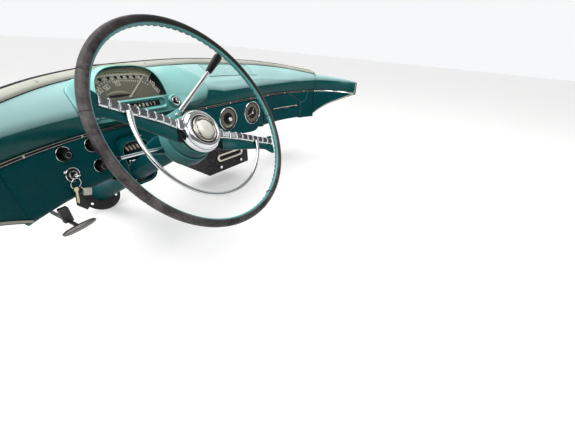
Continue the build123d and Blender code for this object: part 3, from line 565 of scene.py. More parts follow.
# The spokes' enamel is a darker copy of the wheel's teal, as painted shade on faces that turn down and back.
SHADED_SPOKE_TEAL = enamel("spoke_enamel_painted_shade", srgb(0, 82, 84), rough=0.32, coat=0.1, specular=0.15)
CREAM = enamel("cream_enamel", srgb(208, 209, 196), rough=0.4, coat=0.05, specular=0.3,
               primer=(0.1, 0.09, 0.07, 1.0))
GREY_CASE = enamel("dark_grey_enamel", srgb(44, 42, 46), rough=0.45, coat=0.0, specular=0.15)
CHROME = plated("chrome")
DARK_CHROME = plated("shaded_chrome", (0.19, 0.2, 0.205, 1.0), rough=0.3, pits=0.3)
STRIP_METAL = plated("strip_metal", (0.42, 0.41, 0.385, 1.0), rough=0.22, pits=0.4)
DARK_GRIP = plated("grip_metal", (0.2, 0.19, 0.18, 1.0), rough=0.4)
BRASS = plated("key_brass", (0.56, 0.47, 0.3, 1.0), rough=0.25, pits=0.3)
RING_METAL = plated("brown_chrome", (0.42, 0.39, 0.35, 1.0), rough=0.22, pits=0.6)
OLD_CHROME = plated("worn_chrome", (0.62, 0.57, 0.5, 1.0), rough=0.2, pits=0.8)
BLACK = moulded("black_plastic", srgb(10, 10, 12), srgb(24, 23, 24), rough=0.3, specular=0.16)
RUBBER = moulded("black_rubber", srgb(14, 14, 14), srgb(26, 25, 24), rough=0.65, scale=90.0)
RIM_DARK = patchy_rim("rim_plastic")
DIAL = dial_print("dial_paint", srgb(120, 115, 100), srgb(156, 152, 130))
DIAL_LIGHT = dial_print("dial_band_paint", srgb(186, 182, 148), srgb(220, 216, 178))
IVORY = moulded("ivory_plastic", srgb(226, 218, 196), srgb(200, 190, 166), rough=0.35, scale=300.0)
# Black for the hood's painted shadow on the dial.
DIAL_SHADOW_BLACK = moulded("dial_shadow_black", srgb(20, 19, 18), srgb(30, 28, 26), rough=0.5, scale=400.0)
MARKS = moulded("dial_marks", srgb(248, 245, 230), srgb(238, 234, 214), rough=0.5, scale=500.0)
POINTER = moulded("pointer_paint", srgb(236, 230, 214), srgb(224, 216, 196), rough=0.35, scale=300.0)
GLASS = glass("cover_glass")
BUTTON = moulded("button_enamel", srgb(244, 240, 232), srgb(228, 222, 208), rough=0.16, scale=260.0,
                 coat=0.8)
STEEL = steel("dull_steel")
DARK_STEEL = steel("shaded_steel", (0.09, 0.09, 0.09, 1.0), rough=0.5, rust=0.3)
PLATED_STEEL = steel("plated_steel", (0.5, 0.48, 0.42, 1.0), rough=0.3, rust=0.25)


# Steering wheel

RIM_TUBE_R = 9.7
RIM_SEAM = radians(134)
RIM_JOINTS = [radians(a) for a in (169.4, -172.6, -131.1, 20.7, -44.1)]
GRIPS = 91
DISH = spline(((0, -33), (46, -30), (96, -16), (170, -8), (206, -3), (RIM_R, -2)), 6)
WING_DROP = 8.0
LADDER_W, LADDER_WIDTH, LADDER_START = 3.0, 19.0, 57.0
LADDER_END = {-1: RIM_R - 20.0, 1: RIM_R - 11.5}
RIBS, RIB_WIDTH = 9, 2.6
RIB_SHAPE = ((0, 0.0), (0.25, 1.2), (0.7, 1.9), (1.3, 2.1), (1.9, 1.9), (2.35, 1.2), (RIB_WIDTH, 0.0))
PILLOW = (0.08, 0.25, 0.5, 0.75, 0.92)
LADDER_ACROSS = (-1, -0.985, -0.93, -0.82, -0.6, -0.3, 0, 0.3, 0.6, 0.82, 0.93, 0.985, 1)
HORN_H = -11.5


def dish(u):
    """Height of the chrome ladder's front at a distance from the axis."""
    u = min(abs(u), RIM_R)
    for low, high in zip(DISH, DISH[1:]):
        if u <= high.x:
            return mix(low.y, high.y, (u - low.x) / max(high.x - low.x, 1e-6))
    return DISH[-1].y


def rim_point(angle, tube, radius):
    out = WHEEL.u * cos(angle) + WHEEL.w * sin(angle)
    return WHEEL.polar(RIM_R, angle) + (out * cos(tube) + WHEEL.h * sin(tube)) * radius


def rim_half(name, material, turns, start, steps, lip, depth_at, **options):
    """Half of the rim. Its long edges roll in by lip, and depth_at says how far each point sinks."""
    rows = []
    for angle in turns:
        row = []
        for j in range(steps + 1):
            t = j / steps
            tube = mix(start, start + pi, t)
            roll = lip * max(1 - min(t, 1 - t) * steps / 1.2, 0)
            row.append(rim_point(angle, tube, RIM_TUBE_R - depth_at(angle, tube) - roll))
        rows.append(row)
    Shape().grid(rows, close_v=True, flip=True).make(name, material, body="steering", **options)


def rim():
    """The dark outer half with its moulded joints, and the painted inner half with finger grips."""
    turns = [tau * i / 240 - pi for i in range(240)]
    for joint in RIM_JOINTS:
        turns += [joint + radians(d) for d in (-0.4, -0.22, 0.0, 0.22, 0.4)]

    def joint_depth(angle, _):
        near = min(abs(angle - joint) for joint in RIM_JOINTS)
        return 1.1 * max(1 - near / radians(0.3), 0)

    def grip_depth(angle, tube):
        where = smooth((tube - radians(172)) / 0.35) * smooth((radians(262) - tube) / 0.35)
        return 0.5 + 2.1 * (0.5 - 0.5 * cos(angle * GRIPS))**1.6 * where

    rim_half("wheel_rim_outer", RIM_DARK, sorted(turns), RIM_SEAM - pi, 24, 0.9, joint_depth,
             replaced=("wheel_rim",))
    turns = [tau * i / (GRIPS * 8) for i in range(GRIPS * 8)]
    rim_half("wheel_rim_inner", WHEEL_TEAL, turns, RIM_SEAM, 26, 0.8, grip_depth, angle=60)
    marks = Shape()
    for angle in RIM_JOINTS[3:]:
        marks.tube([rim_point(angle, radians(a), RIM_TUBE_R + 0.1) for a in range(100, 265, 15)], 1.0, 8)
    marks.make("wheel_rim_joints", BLACK, body="steering")


def wing(side):
    """One painted spoke: a dished plate with rolled edges that flares into the rim."""
    rows = []
    crease = LADDER_W - LADDER_WIDTH / 2 - 1.0
    for u in steps_between(56.0, RIM_R - 6, 36):
        flare = 9.0 * smooth((u - 182) / 30)
        top = mix(16.0, 13.5, u / RIM_R) + flare
        low = mix(-33.0, -20.0, smooth((u - 60) / 130)) - flare
        front = dish(u) - WING_DROP
        half = mix(11.0, 7.0, u / RIM_R) / 2
        ring = arc(3.4, half, pi / 2, pi, 8, (low + 3.4, front - half))
        ring += arc(3.0, half, -pi / 2, pi, 8, (top - 3.0, front - half))
        ring += [(crease + 1.2, front), (crease, front - 0.9), (crease - 1.2, front),
                 (mix(crease, low, 0.5), front + 0.9)]
        rows.append([WHEEL.at(side * u, w, h) for w, h in ring])
    shape = Shape().grid(rows, close_u=True, flip=side > 0)
    shape.fan(rows[0], flip=side < 0)
    # Painted shade: the wing takes the darker copy of the rim's teal.
    shape.make("spoke_wing_" + SIDES[side], SHADED_SPOKE_TEAL, body="steering", replaced=("wheel_spokes",))


def ladder(side):
    """The chrome ladder on a spoke, a rib and a shallow pillow by turns, with cells on the pillows in a
    darker copy of the chrome, as painted shade between the ribs.
    """
    pitch = (LADDER_END[side] - LADDER_START - RIB_WIDTH) / RIBS
    ribs = [LADDER_START + k * pitch for k in range(RIBS + 1)]
    cells = Shape()
    for low, high in zip(ribs, ribs[1:]):
        low, high = low + 3.2, high - 0.6
        rings = []
        for inset, rise in ((0.0, -2.6), (0.0, -1.9), (0.7, -1.45)):
            outline = rounded_box(high - low - 2 * inset, LADDER_WIDTH - 5.4 - 2 * inset, 1.8, 3,
                                  ((low + high) / 2, LADDER_W + 0.4))
            rings.append([WHEEL.at(side * u, w, dish(u) + rise) for u, w in outline])
        cells.grid(rings, close_u=True, flip=side < 0)
        cells.fan(rings[-1], flip=side < 0)
    # Painted shade: the cells take the darker copy of the chrome.
    cells.make("spoke_cells_" + SIDES[side], DARK_CHROME, body="steering")
    stations = []
    for k, rib in enumerate(ribs):
        stations += [(rib + step, rise, 0.6) for step, rise in RIB_SHAPE]
        if k < RIBS:
            stations += [(mix(rib + RIB_WIDTH, ribs[k + 1], share), 0.35 * sin(pi * share), -0.5)
                         for share in PILLOW]
    rows = []
    for u, rise, wide in stations:
        half, face = LADDER_WIDTH / 2 + wide, dish(u)
        left, right = (WHEEL.at(side * u, LADDER_W + half * end, face - WING_DROP - 0.5) for end in (-1, 1))
        front = [WHEEL.at(side * u, LADDER_W + half * c, face - 3.0 + rise - 4.6 * (1 - sqrt(1 - abs(c)**5)))
                 for c in LADDER_ACROSS]
        rows.append([left, *front, right])
    Shape().grid(rows, flip=side < 0, ends=True).make(
        "spoke_ladder_" + SIDES[side], CHROME, body="steering", replaced=("spoke_ribs",), angle=50)


def horn_ring():
    """The chrome half ring, flatter and wider where it is let into the spokes."""
    rows = []
    for t in steps_between(0.0, 1.0, 120):
        end = 1 - smooth(min(t, 1 - t) / 0.1)
        section = arc(4.3 + 1.9 * end, 3.1 - 0.5 * end, 0, tau, 16)[:-1]
        angle = mix(-0.015, -pi + 0.015, t)
        rows.append([WHEEL.polar(HORN_R + out, angle, HORN_H + h) for out, h in section])
    Shape().grid(rows, close_u=True, ends=True).make(
        "horn_half_ring", CHROME, body="steering", replaced=("horn_ring",))
    sockets = Shape()
    for side in SIDES:
        spot = WHEEL.moved(side * HORN_R, LADDER_W - LADDER_WIDTH / 2 - 1.5)
        sockets.plate(rounded_box(12, 5, 2.0), spot, -20, -10.4, 1.2)
    sockets.make("horn_ring_sockets", BLACK, body="steering")


def hub():
    """The chrome cup, its dark seam, the bezel and the bare horn button."""
    cup = ((43.0, -47.6), (44.8, -47.0), (46.2, -45.2), (47.6, -39.0), (47.8, -34.0), (47.0, -28.6),
           (46.2, -26.8), (45.3, -26.4), (45.2, -25.4), (45.8, -25.0), (45.6, -24.0), (43.6, -20.8),
           (40.4, -18.0), (37.6, -16.4), (35.6, -15.8), (33.4, -16.2), (31.8, -17.6), (31.2, -19.4),
           (31.0, -21.0), (10, -21.0))
    turned("horn_bezel_cup", CHROME, WHEEL, cup, 120, body="steering", replaced=("horn_cup",))
    seam = ((45.0, -27.0), (46.35, -26.7), (46.25, -25.1), (45.0, -24.8))
    turned("horn_cup_seam", BLACK, WHEEL, seam, 96, body="steering")
    well = ((31.1, -21.2), (31.3, -19.0), (30.6, -18.3), (29.8, -18.6), (29.0, -20.6), (22, -21.0))
    turned("horn_button_gap", BLACK, WHEEL, well, 96, body="steering")
    ring = ((29.4, -21.0), (29.5, -17.6), (28.8, -15.8), (27.4, -14.6), (26.0, -14.4), (25.2, -15.2),
            (24.2, -15.8), (22.6, -15.6), (21.4, -14.8), (20.4, -13.6), (19.9, -13.2), (19.5, -13.6),
            (19.4, -14.6), (4, -14.6))
    turned("horn_button_ring", RING_METAL, WHEEL, ring, 96, body="steering", replaced=("horn_button",))
    disc = [(19.6, -14.2), (19.5, -13.2)] + arc(19.1, 4.4, 0, pi / 2, 12, (0, -13.0))
    turned("horn_button_disc", BUTTON, WHEEL, disc, 96, body="steering")
    # The black blocks at the spokes' roots are painted shade in the gap between the wings and the cup, and
    # they also join the two.
    for name, finish, box, u, w, low, high, bevel in (
            ("spoke_shoulders", CHROME, (15, 24, 4), 50, LADDER_W, -41, -25.5, 3.0),
            ("spoke_root_shade", BLACK, (16, 34, 3), 51, -14, -44, -38, 1.0)):
        shape = Shape()
        for side in SIDES:
            shape.plate(rounded_box(*box), WHEEL.moved(side * u, w), low, high, bevel)
        shape.make(name, finish, body="steering")


rim()
for side in SIDES:
    wing(side)
    ladder(side)
horn_ring()
hub()


# Steering column

SHIFT_BASE = (-22, 49, -94)
SHIFT_FOOT, SHIFT_GRIP, SHIFT_TIP = (8, 62, -76), (146, 143, -66), (205, 180, -60)
SIGNAL_FOOT, SIGNAL_TIP = (-62, 2, -108), (-178, 3, -84)


def column_head():
    """The bell behind the wheel, its dark throat, and the shift collar with its seam."""
    bell = ((40, -100), (49.0, -90), (50.2, -84), (50.2, -78), (49.4, -68), (48.4, -58), (47.6, -53.8),
            (46.6, -52.0), (45.2, -51.4), (44.0, -52.0), (43.4, -53.4), (43.2, -60))
    turned("column_bell_cover", COLUMN_TEAL, COLUMN, bell, 120, replaced=("column_bell",))
    throat = ((43.3, -60), (42.8, -53.0), (40.0, -52.4), (16, -52.4))
    turned("column_throat", BLACK, COLUMN, throat, 72)
    collar = ((27.4, -126), (34, -126), (46, -124.4), (53, -121.4), (57.0, -117.4), (58.8, -113),
              (58.8, -106), (57.2, -92), (55.4, -83.4), (54.4, -81.4), (52.8, -80.8), (51.2, -81.4),
              (50.4, -83))
    turned("shift_collar_cover", COLUMN_TEAL, COLUMN, collar, 120, replaced=("shift_collar",))
    seam = ((58.3, -109.0), (59.0, -108.6), (59.0, -107.4), (58.3, -107.0))
    turned("shift_collar_seam", BLACK, COLUMN, seam, 96)


def signal_housing():
    """The faceted box at the collar's left, where the signal lever comes out."""
    rows = []
    for u, w, h, wide, deep, radius in ((-44, 10, -121, 42, 24, 5), (-60, 10, -120, 39, 24, 5),
                                        (-76, 9, -119, 28, 20, 5), (-92, 8, -118, 15, 13, 4),
                                        (-96, 8, -118, 9, 8, 3)):
        spot = Place(COLUMN.at(u, w, h), COLUMN.w, -COLUMN.u)
        rows.append([spot.at(a, b) for a, b in rounded_box(wide, deep, radius, 4)])
    shape = Shape().grid(rows, close_u=True)
    shape.fan(rows[-1])
    # The housing takes the deep teal, darker than the column's enamel, as painted shade on its flank.
    shape.make("signal_lever_housing", DEEP_TEAL, angle=50)


def signal_lever():
    """The thin chrome rod with its black knob."""
    foot, tip = COLUMN.at(*SIGNAL_FOOT), COLUMN.at(*SIGNAL_TIP)
    rod = [foot.lerp(tip, t) for t in (0, 0.25, 0.5, 0.75, 0.93)]
    Shape().tube(rod, [3.4, 3.3, 3.2, 3.1, 3.0], 16).make(
        "signal_lever_rod", CHROME, replaced=("signal_lever",))
    grip = Place(foot.lerp(tip, 0.86), COLUMN.w, (tip - foot).normalized())
    knob = ((3.2, -0.6), (4.2, 0), (4.9, 2), (5.3, 9), (5.0, 17), (3.9, 21.5), (0, 22.8))
    turned("signal_lever_knob", BLACK, grip, knob, 32)


def shift_lever():
    """The socket on the collar, the chrome rod and the long black grip."""
    base, foot, start, end = (COLUMN.at(*p) for p in (SHIFT_BASE, SHIFT_FOOT, SHIFT_GRIP, SHIFT_TIP))
    socket = [base, base.lerp(foot, 0.35), base.lerp(foot, 0.8), foot + (foot - base) * 0.06]
    Shape().tube(socket, [13.0, 11.4, 8.6, 7.4], 28).make("shift_lever_socket", COLUMN_TEAL)
    rod = [foot.lerp(start, t) for t in (-0.1, 0.3, 0.7, 1.02)]
    Shape().tube(rod, [5.6, 5.0, 4.6, 4.3], 20).make("shift_lever_rod", CHROME, replaced=("shift_lever",))
    long = (end - start).length
    away = (end - start).normalized()
    grip = ((4.4, -3), (6.6, -2.6), (7.6, 0.5), (9.0, long * 0.3), (9.9, long * 0.6), (10.4, long * 0.8),
            (9.6, long * 0.93), (6.9, long * 0.985), (0, long))
    turned("shift_lever_grip", BLACK, Place(start, COLUMN.h.cross(away), away), grip, 36,
           replaced=("shift_grip",))


column_head()
signal_housing()
signal_lever()
shift_lever()


# Upper pressing with its speaker grille, and the instrument hood let into it

MOUTH = (10.0, 8.0)
MOUTH_ARCH, MOUTH_POWER_LEFT = (98.0, 94.0, 3.2), 2.8
FASCIA_SIDES, FASCIA_DROP = (150.0, 132.0), 38.0
HOOD_FOOT = ((-22, -68), (-40, -32), (-82, -12), (-140, 6), (-300, 20), (-425, -16), (-467, -34),
             (-468, -70), (-463, -121), (-200, -122), (-110, -120), (-44, -104))
HOOD_HOLE = [(x * 0.985 - 320 * 0.015, z * 0.93 - 70 * 0.07) for x, z in HOOD_FOOT]
HOOD_LIP = ((-8.4, -27.0), (-6.0, -20.0), (-1.5, -10.0), (2.0, -3.0), (2.6, -1.2), (2.3, 0.3), (1.4, 0.8),
            (0.4, 0.2), (0.0, -1.4))
HOOD_STEPS = 240
GRILLE_X, GRILLE_K = (19.0, 271.0), (0.62, 0.965)
HOLE_PITCH, HOLE_ROWS, HOLE_SINK = 5.0, 11, -1.6


def roll_at(x, z):
    """The point of the upper pressing at x and z, and how far up the roll it lies."""
    low, high = 0.0, 1.0
    for _ in range(24):
        k = (low + high) / 2
        if roll_point(x, k).z < z:
            low = k
        else:
            high = k
    return roll_point(x, k), k


def inside(outline, a, b):
    """True where a point lies inside an outline."""
    hit = False
    for (a0, b0), (a1, b1) in zip(outline, outline[1:] + outline[:1]):
        if (b0 > b) != (b1 > b) and a < a0 + (b - b0) / (b1 - b0) * (a1 - a0):
            hit = not hit
    return hit


def crest(x, k):
    """The pressed line along the roll, from the hood to the passenger's end."""
    return 2.6 * smooth((x + 60) / 90) * exp(-((k - 0.47) / 0.045)**2)


def upper_pressing():
    """The roll from the strip to the flange, open under the hood and at the grille."""
    width = [SEAM_X * (i / 82 - 1) for i in range(165)]
    width = sorted(set([x for x in width if not GRILLE_X[0] - 5 < x < GRILLE_X[1] + 5]
                       + steps_between(*GRILLE_X, 32)))
    rise = sorted(set([i / 28 for i in range(29)] + list(GRILLE_K) + [1.03, 1.3, 1.6, 1.8, 2.0]))
    shape = Shape()
    shape.verts = [roll_point(x, k, crest(x, k)) for x in width for k in rise]
    for i in range(len(width) - 1):
        for j in range(len(rise) - 1):
            x, k = (width[i] + width[i + 1]) / 2, (rise[j] + rise[j + 1]) / 2
            under_hood = k < 1 and inside(HOOD_HOLE, x, roll_point(x, k).z)
            if under_hood or GRILLE_X[0] < x < GRILLE_X[1] and GRILLE_K[0] < k < GRILLE_K[1]:
                continue
            a = i * len(rise) + j
            shape.faces.append((a, a + len(rise), a + len(rise) + 1, a + 1))
    shape.make("upper_pressing", ROLL_GREEN, replaced=("upper_panel",), sheet=1.4)


def grille():
    """The perforated sheet of the speaker opening: round holes in a square pattern, pressed in a little."""
    across = int((GRILLE_X[1] - GRILLE_X[0]) / HOLE_PITCH)
    half_x, half_k = (GRILLE_X[1] - GRILLE_X[0]) / across / 2, (GRILLE_K[1] - GRILLE_K[0]) / HOLE_ROWS / 2
    circle = arc(1, 1, 0, tau, 8)[:-1]
    square = [(a / max(abs(a), abs(b)), b / max(abs(a), abs(b))) for a, b in circle]
    hole = ((square, 1.0, HOLE_SINK), (circle, 0.46, HOLE_SINK), (circle, 0.46, HOLE_SINK - 1.4))
    shape = Shape()
    for i in range(across):
        for j in range(HOLE_ROWS):
            x, k = mix(*GRILLE_X, (i + 0.5) / across), mix(*GRILLE_K, (j + 0.5) / HOLE_ROWS)
            shape.grid([[roll_point(x + a * half_x * reach, k + b * half_k * reach, proud) for a, b in ring]
                        for ring, reach, proud in hole], close_u=True)
    (left, right), (low, high) = GRILLE_X, GRILLE_K
    corners = ((left, low), (right, low), (right, high), (left, high))
    for (x0, k0), (x1, k1) in zip(corners, corners[1:] + corners[:1]):
        shape.grid([[roll_point(mix(x0, x1, t), mix(k0, k1, t), proud) for t in steps_between(0, 1, 24)]
                    for proud in (0.0, HOLE_SINK)])
    shape.make("speaker_grille_sheet", ROLL_GREEN, angle=50)


def mouth_point(angle, inset, h):
    """A point round the hood's mouth: a square arch above, the fascia's box below."""
    c, s = abs(cos(angle)), sin(angle)
    wide, tall, power = MOUTH_ARCH
    if s < 0:
        side = FASCIA_SIDES[0] if cos(angle) < 0 else FASCIA_SIDES[1]
        wide, tall, power = mix(wide, side, smooth(-s / 0.16)), FASCIA_DROP, 8
    elif cos(angle) <= 0:
        power = MOUTH_POWER_LEFT
    radius = ((c / (wide - inset))**power + (abs(s) / (tall - inset))**power)**(-1 / power)
    return CLUSTER.at(MOUTH[0] + radius * cos(angle), MOUTH[1] + radius * sin(angle), h)


def hood_ray(angle):
    """The middle of the mouth, and the way in x and z that a direction takes from it."""
    start = CLUSTER.at(*MOUTH)
    ahead = CLUSTER.at(MOUTH[0] + cos(angle), MOUTH[1] + sin(angle)) - start
    return start, ahead.x, ahead.z


def hood_reach(angle):
    """How far out on that ray the hood's foot lies."""
    start, du, dw = hood_ray(angle)
    reaches = []
    for (x0, z0), (x1, z1) in zip(HOOD_FOOT, HOOD_FOOT[1:] + HOOD_FOOT[:1]):
        ex, ez = x1 - x0, z1 - z0
        across = du * ez - dw * ex
        if abs(across) < 1e-9:
            continue
        reach = ((x0 - start.x) * ez - (z0 - start.z) * ex) / across
        share = ((x0 - start.x) * dw - (z0 - start.z) * du) / across
        if reach > 0 and -1e-6 <= share <= 1 + 1e-6:
            reaches.append(reach)
    return max(reaches)


def hood_edge():
    """The hood's edge on the roll all the way round, with its corners eased."""
    turns = [tau * i / HOOD_STEPS for i in range(HOOD_STEPS)]
    reach = [hood_reach(angle) for angle in turns]
    for _ in range(3):
        reach = [(reach[i - 1] + 2 * reach[i] + reach[(i + 1) % HOOD_STEPS]) / 4 for i in range(HOOD_STEPS)]
    edge = []
    for angle, far in zip(turns, reach):
        start, du, dw = hood_ray(angle)
        x = start.x + du * far
        edge.append(roll_at(x, min(start.z + dw * far, row_at(x)[1] - 1.5)))
    return edge


def hood_column(angle, foot, k):
    """Points from inside the mouth, round its lip and down a curve to the hood's foot on the roll."""
    top = max(sin(angle), 0)**2
    radial = CLUSTER.u * cos(angle) + CLUSTER.w * sin(angle)
    column = [mouth_point(angle, inset, h) for inset, h in HOOD_LIP]
    start = column[-1]
    reach = (foot - start).length
    proud = roll_point(foot.x, k, 2.4)
    normal = (roll_point(foot.x, k, 1.0) - foot).normalized()
    toward = start - proud
    toward = (toward - normal * toward.dot(normal)).normalized()
    p1 = start + radial * reach * mix(0.34, 0.10, top) - CLUSTER.h * reach * mix(0.10, 0.40, top)
    p2 = proud + toward * reach * 0.36 + normal * reach * mix(0.04, 0.10, top)
    for t in steps_between(0, 1, 16)[1:]:
        column.append(start * (1 - t)**3 + p1 * 3 * t * (1 - t)**2 + p2 * 3 * t * t * (1 - t) + proud * t**3)
    column.append(proud - toward * 0.9 - normal * 0.7)
    column.append(proud - toward * 1.2 - normal * 2.9)
    return column


def instrument_hood():
    """The hood over the dial, and the dark seams at its foot and along the grille."""
    edge = hood_edge()
    columns = [hood_column(tau * i / HOOD_STEPS, *edge[i]) for i in range(HOOD_STEPS)]
    Shape().grid([list(row) for row in zip(*columns)], close_u=True).make(
        "instrument_hood", HOOD_GREEN, replaced=("cluster_hood",), angle=40)
    seam = Shape()
    for low, high, radius in ((0.36, 0.56, 1.5), (0.03, 0.2, 0.9)):
        seam.tube([edge[i][0] for i in range(HOOD_STEPS) if low < i / HOOD_STEPS < high], radius, 8)
    along = steps_between(GRILLE_X[0] - 6, GRILLE_X[1] + 10, 24)
    seam.tube([roll_point(x, GRILLE_K[0] - 0.03, 0.4) for x in along], 1.0, 8)
    seam.make("instrument_hood_seam", RUBBER)


upper_pressing()
grille()
instrument_hood()


# Instruments

DIAL_AT, DIAL_FOOT = -25.5, 13.0
DIAL_ARC = (95.0, 76.6, 4.2)
BLOCK_STEP = radians(13.5)
# Steps of a dial line, from right to left, and how many of them lie in the hood's painted shadow
DIAL_STEPS, HOOD_SHADOW_STEPS = 96, 21
NEEDLE_FOOT, NEEDLE_ANGLE, NEEDLE_LONG = (8.0, 27.2), radians(38.35), 93.0
POCKET = ((-111, 3), (-112, -17), (-80, -16), (-97, 0))
POCKET_EDGE = ((-112, 4), (-113, -9), (-111.5, -18), (-98, -19), (-79, -17.5))
SCALE = ("30", "40", "50", "60", "70", "80", "90", "100")
# Large figures over the lower dial: text, u, w and tilt
LARGE_FIGURES = (("30", -62, 49, 0.5), ("50", -41, 56, 0.38), ("70", -11, 63, 0.16), ("110", 87, 61, -0.8),
                 ("120", 95, 41, -1.05))
# Strokes of the figures, on a field 4 wide and 6 high
DIGITS = {
    "0": (((0, 0), (4, 0), (4, 6), (0, 6), (0, 0)),),
    "1": (((1, 5), (2.2, 6), (2.2, 0)),),
    "2": (((0, 6), (4, 6), (4, 3), (0, 3), (0, 0), (4, 0)),),
    "3": (((0, 6), (4, 6), (4, 0), (0, 0)), ((1, 3), (4, 3))),
    "4": (((3, 0), (3, 6), (0, 2), (4, 2)),),
    "5": (((4, 6), (0, 6), (0, 3), (4, 3), (4, 0), (0, 0)),),
    "6": (((4, 6), (0, 6), (0, 0), (4, 0), (4, 3), (0, 3)),),
    "7": (((0, 6), (4, 6), (1.6, 0)),),
    "8": (((0, 0), (4, 0), (4, 6), (0, 6), (0, 0)), ((0, 3), (4, 3))),
    "9": (((0, 0), (4, 0), (4, 6), (0, 6), (0, 3), (4, 3)),),
}


def arch(angle, kind, grow=0.0):
    """A point of an arch about the middle of the mouth, as u and w. Kind is its half sizes and power."""
    half_u, half_w, power = kind
    c, s = abs(cos(angle)), max(sin(angle), 0.0)
    radius = ((c / (half_u + grow))**power + (s / (half_w + grow))**power)**(-1 / power)
    return MOUTH[0] + radius * cos(angle), MOUTH[1] + radius * sin(angle)


def stroke(shape, place, line, width, high, thick=0.35):
    """A flat raised line along points given as u and w."""
    half = width / 2
    for (u0, w0), (u1, w1) in zip(line, line[1:]):
        long = hypot(u1 - u0, w1 - w0)
        du, dw = (u1 - u0) / long * half, (w1 - w0) / long * half
        corners = ((u0 - du + dw, w0 - dw - du), (u1 + du + dw, w1 + dw - du),
                   (u1 + du - dw, w1 + dw + du), (u0 - du - dw, w0 - dw + du))
        rows = [[place.at(u, w, h) for u, w in corners] for h in (high, high + thick)]
        shape.grid(rows, close_u=True)
        shape.fan(rows[-1])


def number(shape, place, text, tall, width):
    """Plain figures, centred on the place."""
    size = tall / 6
    for k, figure in enumerate(text):
        left = (k - (len(text) - 1) / 2) * 5.6 * size - 2 * size
        for line in DIGITS[figure]:
            stroke(shape, place, [(left + a * size, b * size - tall / 2) for a, b in line], width, 0.0)


def dial_spot(angle, grow):
    """A place on the dial facing the driver, with its top turned outward along the arc."""
    return CLUSTER.moved(*arch(angle, DIAL_ARC, grow), DIAL_AT, (angle - pi / 2) * 0.8)


def dial_line(kind, grow, h):
    """A line over the dial along an arch, cut off level at the dial's foot."""
    points = [arch(angle, kind, grow) for angle in steps_between(0, pi, DIAL_STEPS)]
    return [CLUSTER.at(u, max(w, DIAL_FOOT), DIAL_AT + h) for u, w in points]


def dial():
    """A brushed plate with a lighter outer band and a bright arc, both covered at the right end by a black
    band painted as the hood's shadow.
    """
    edge = dial_line(MOUTH_ARCH, 9.0, 0.0)
    rows = [dial_line(MOUTH_ARCH, 9.0, -1.5), edge]
    for share in (0.8, 0.6, 0.4, 0.2, 0.02):
        rows.append([CLUSTER.at(MOUTH[0], DIAL_FOOT, DIAL_AT).lerp(p, share) for p in edge])
    Shape().grid(rows).make("speedometer_dial_plate", DIAL, replaced=("speedometer_dial",))
    outer = [dial_line(MOUTH_ARCH, 6.0, 2.6), dial_line(MOUTH_ARCH, 8.6, 3.0)]
    band = [dial_line(DIAL_ARC, grow, h) for grow, h in ((0.6, 0.0), (0.6, 0.8))] + outer
    line = [dial_line(DIAL_ARC, grow, h) for grow, h in ((-2.0, 0.0), (-1.8, 1.0), (1.4, 1.0), (1.6, 0.0))]
    # Painted shadow of the hood: a black band over the right end of the dial's band and arc.
    zone = [dial_line(DIAL_ARC, grow, h) for grow, h in ((-6.0, 0.1), (-6.0, 0.3), (1.0, 0.8))] + outer
    lit, dark = slice(HOOD_SHADOW_STEPS, None), slice(HOOD_SHADOW_STEPS + 1)
    for name, finish, rows, share in (("dial_outer_band", DIAL_LIGHT, band, lit),
                                      ("dial_bright_arc", MARKS, line, lit),
                                      ("dial_hood_shadow", DIAL_SHADOW_BLACK, zone, dark)):
        Shape().grid([row[share] for row in rows], flip=True).make(name, finish)


def dial_marks():
    """Black blocks under the arc, small white strokes inside them, and plain figures."""
    blocks, ticks, figures, dashes = Shape(), Shape(), Shape(), Shape()
    for k in range(-5, 5):
        spot = dial_spot(pi / 2 - BLOCK_STEP * k, -6.2)
        blocks.plate(((-3.4, -3.2), (3.4, -3.2), (4.0, 3.4), (-4.0, 3.4)), spot, 0.0, 0.5)
    for k in range(-14, 12):
        angle = pi / 2 - BLOCK_STEP * k / 2.7
        spot = dial_spot(angle, -14.5 - 7 * max(cos(angle), 0))
        stroke(ticks, spot, ((0, -1.0), (0, 1.0)), 2.4, 0.0)
        if -6 < k < 4:
            stroke(dashes, dial_spot(angle, 5.0), ((-2.0, 0), (2.0, 0)), 1.4, 1.6)
    for k, text in enumerate(SCALE):
        number(figures, dial_spot(pi / 2 - BLOCK_STEP * (k - 4.5), -7.6), text, 5.8, 1.5)
    for text, u, w, tilt in LARGE_FIGURES:
        number(figures, CLUSTER.moved(u, w, DIAL_AT + 0.7, tilt), text, 9.2, 2.1)
    blocks.make("dial_blocks", BLACK)
    ticks.make("dial_strokes", MARKS)
    dashes.make("dial_dashes", BLACK)
    figures.make("dial_figures", MARKS)


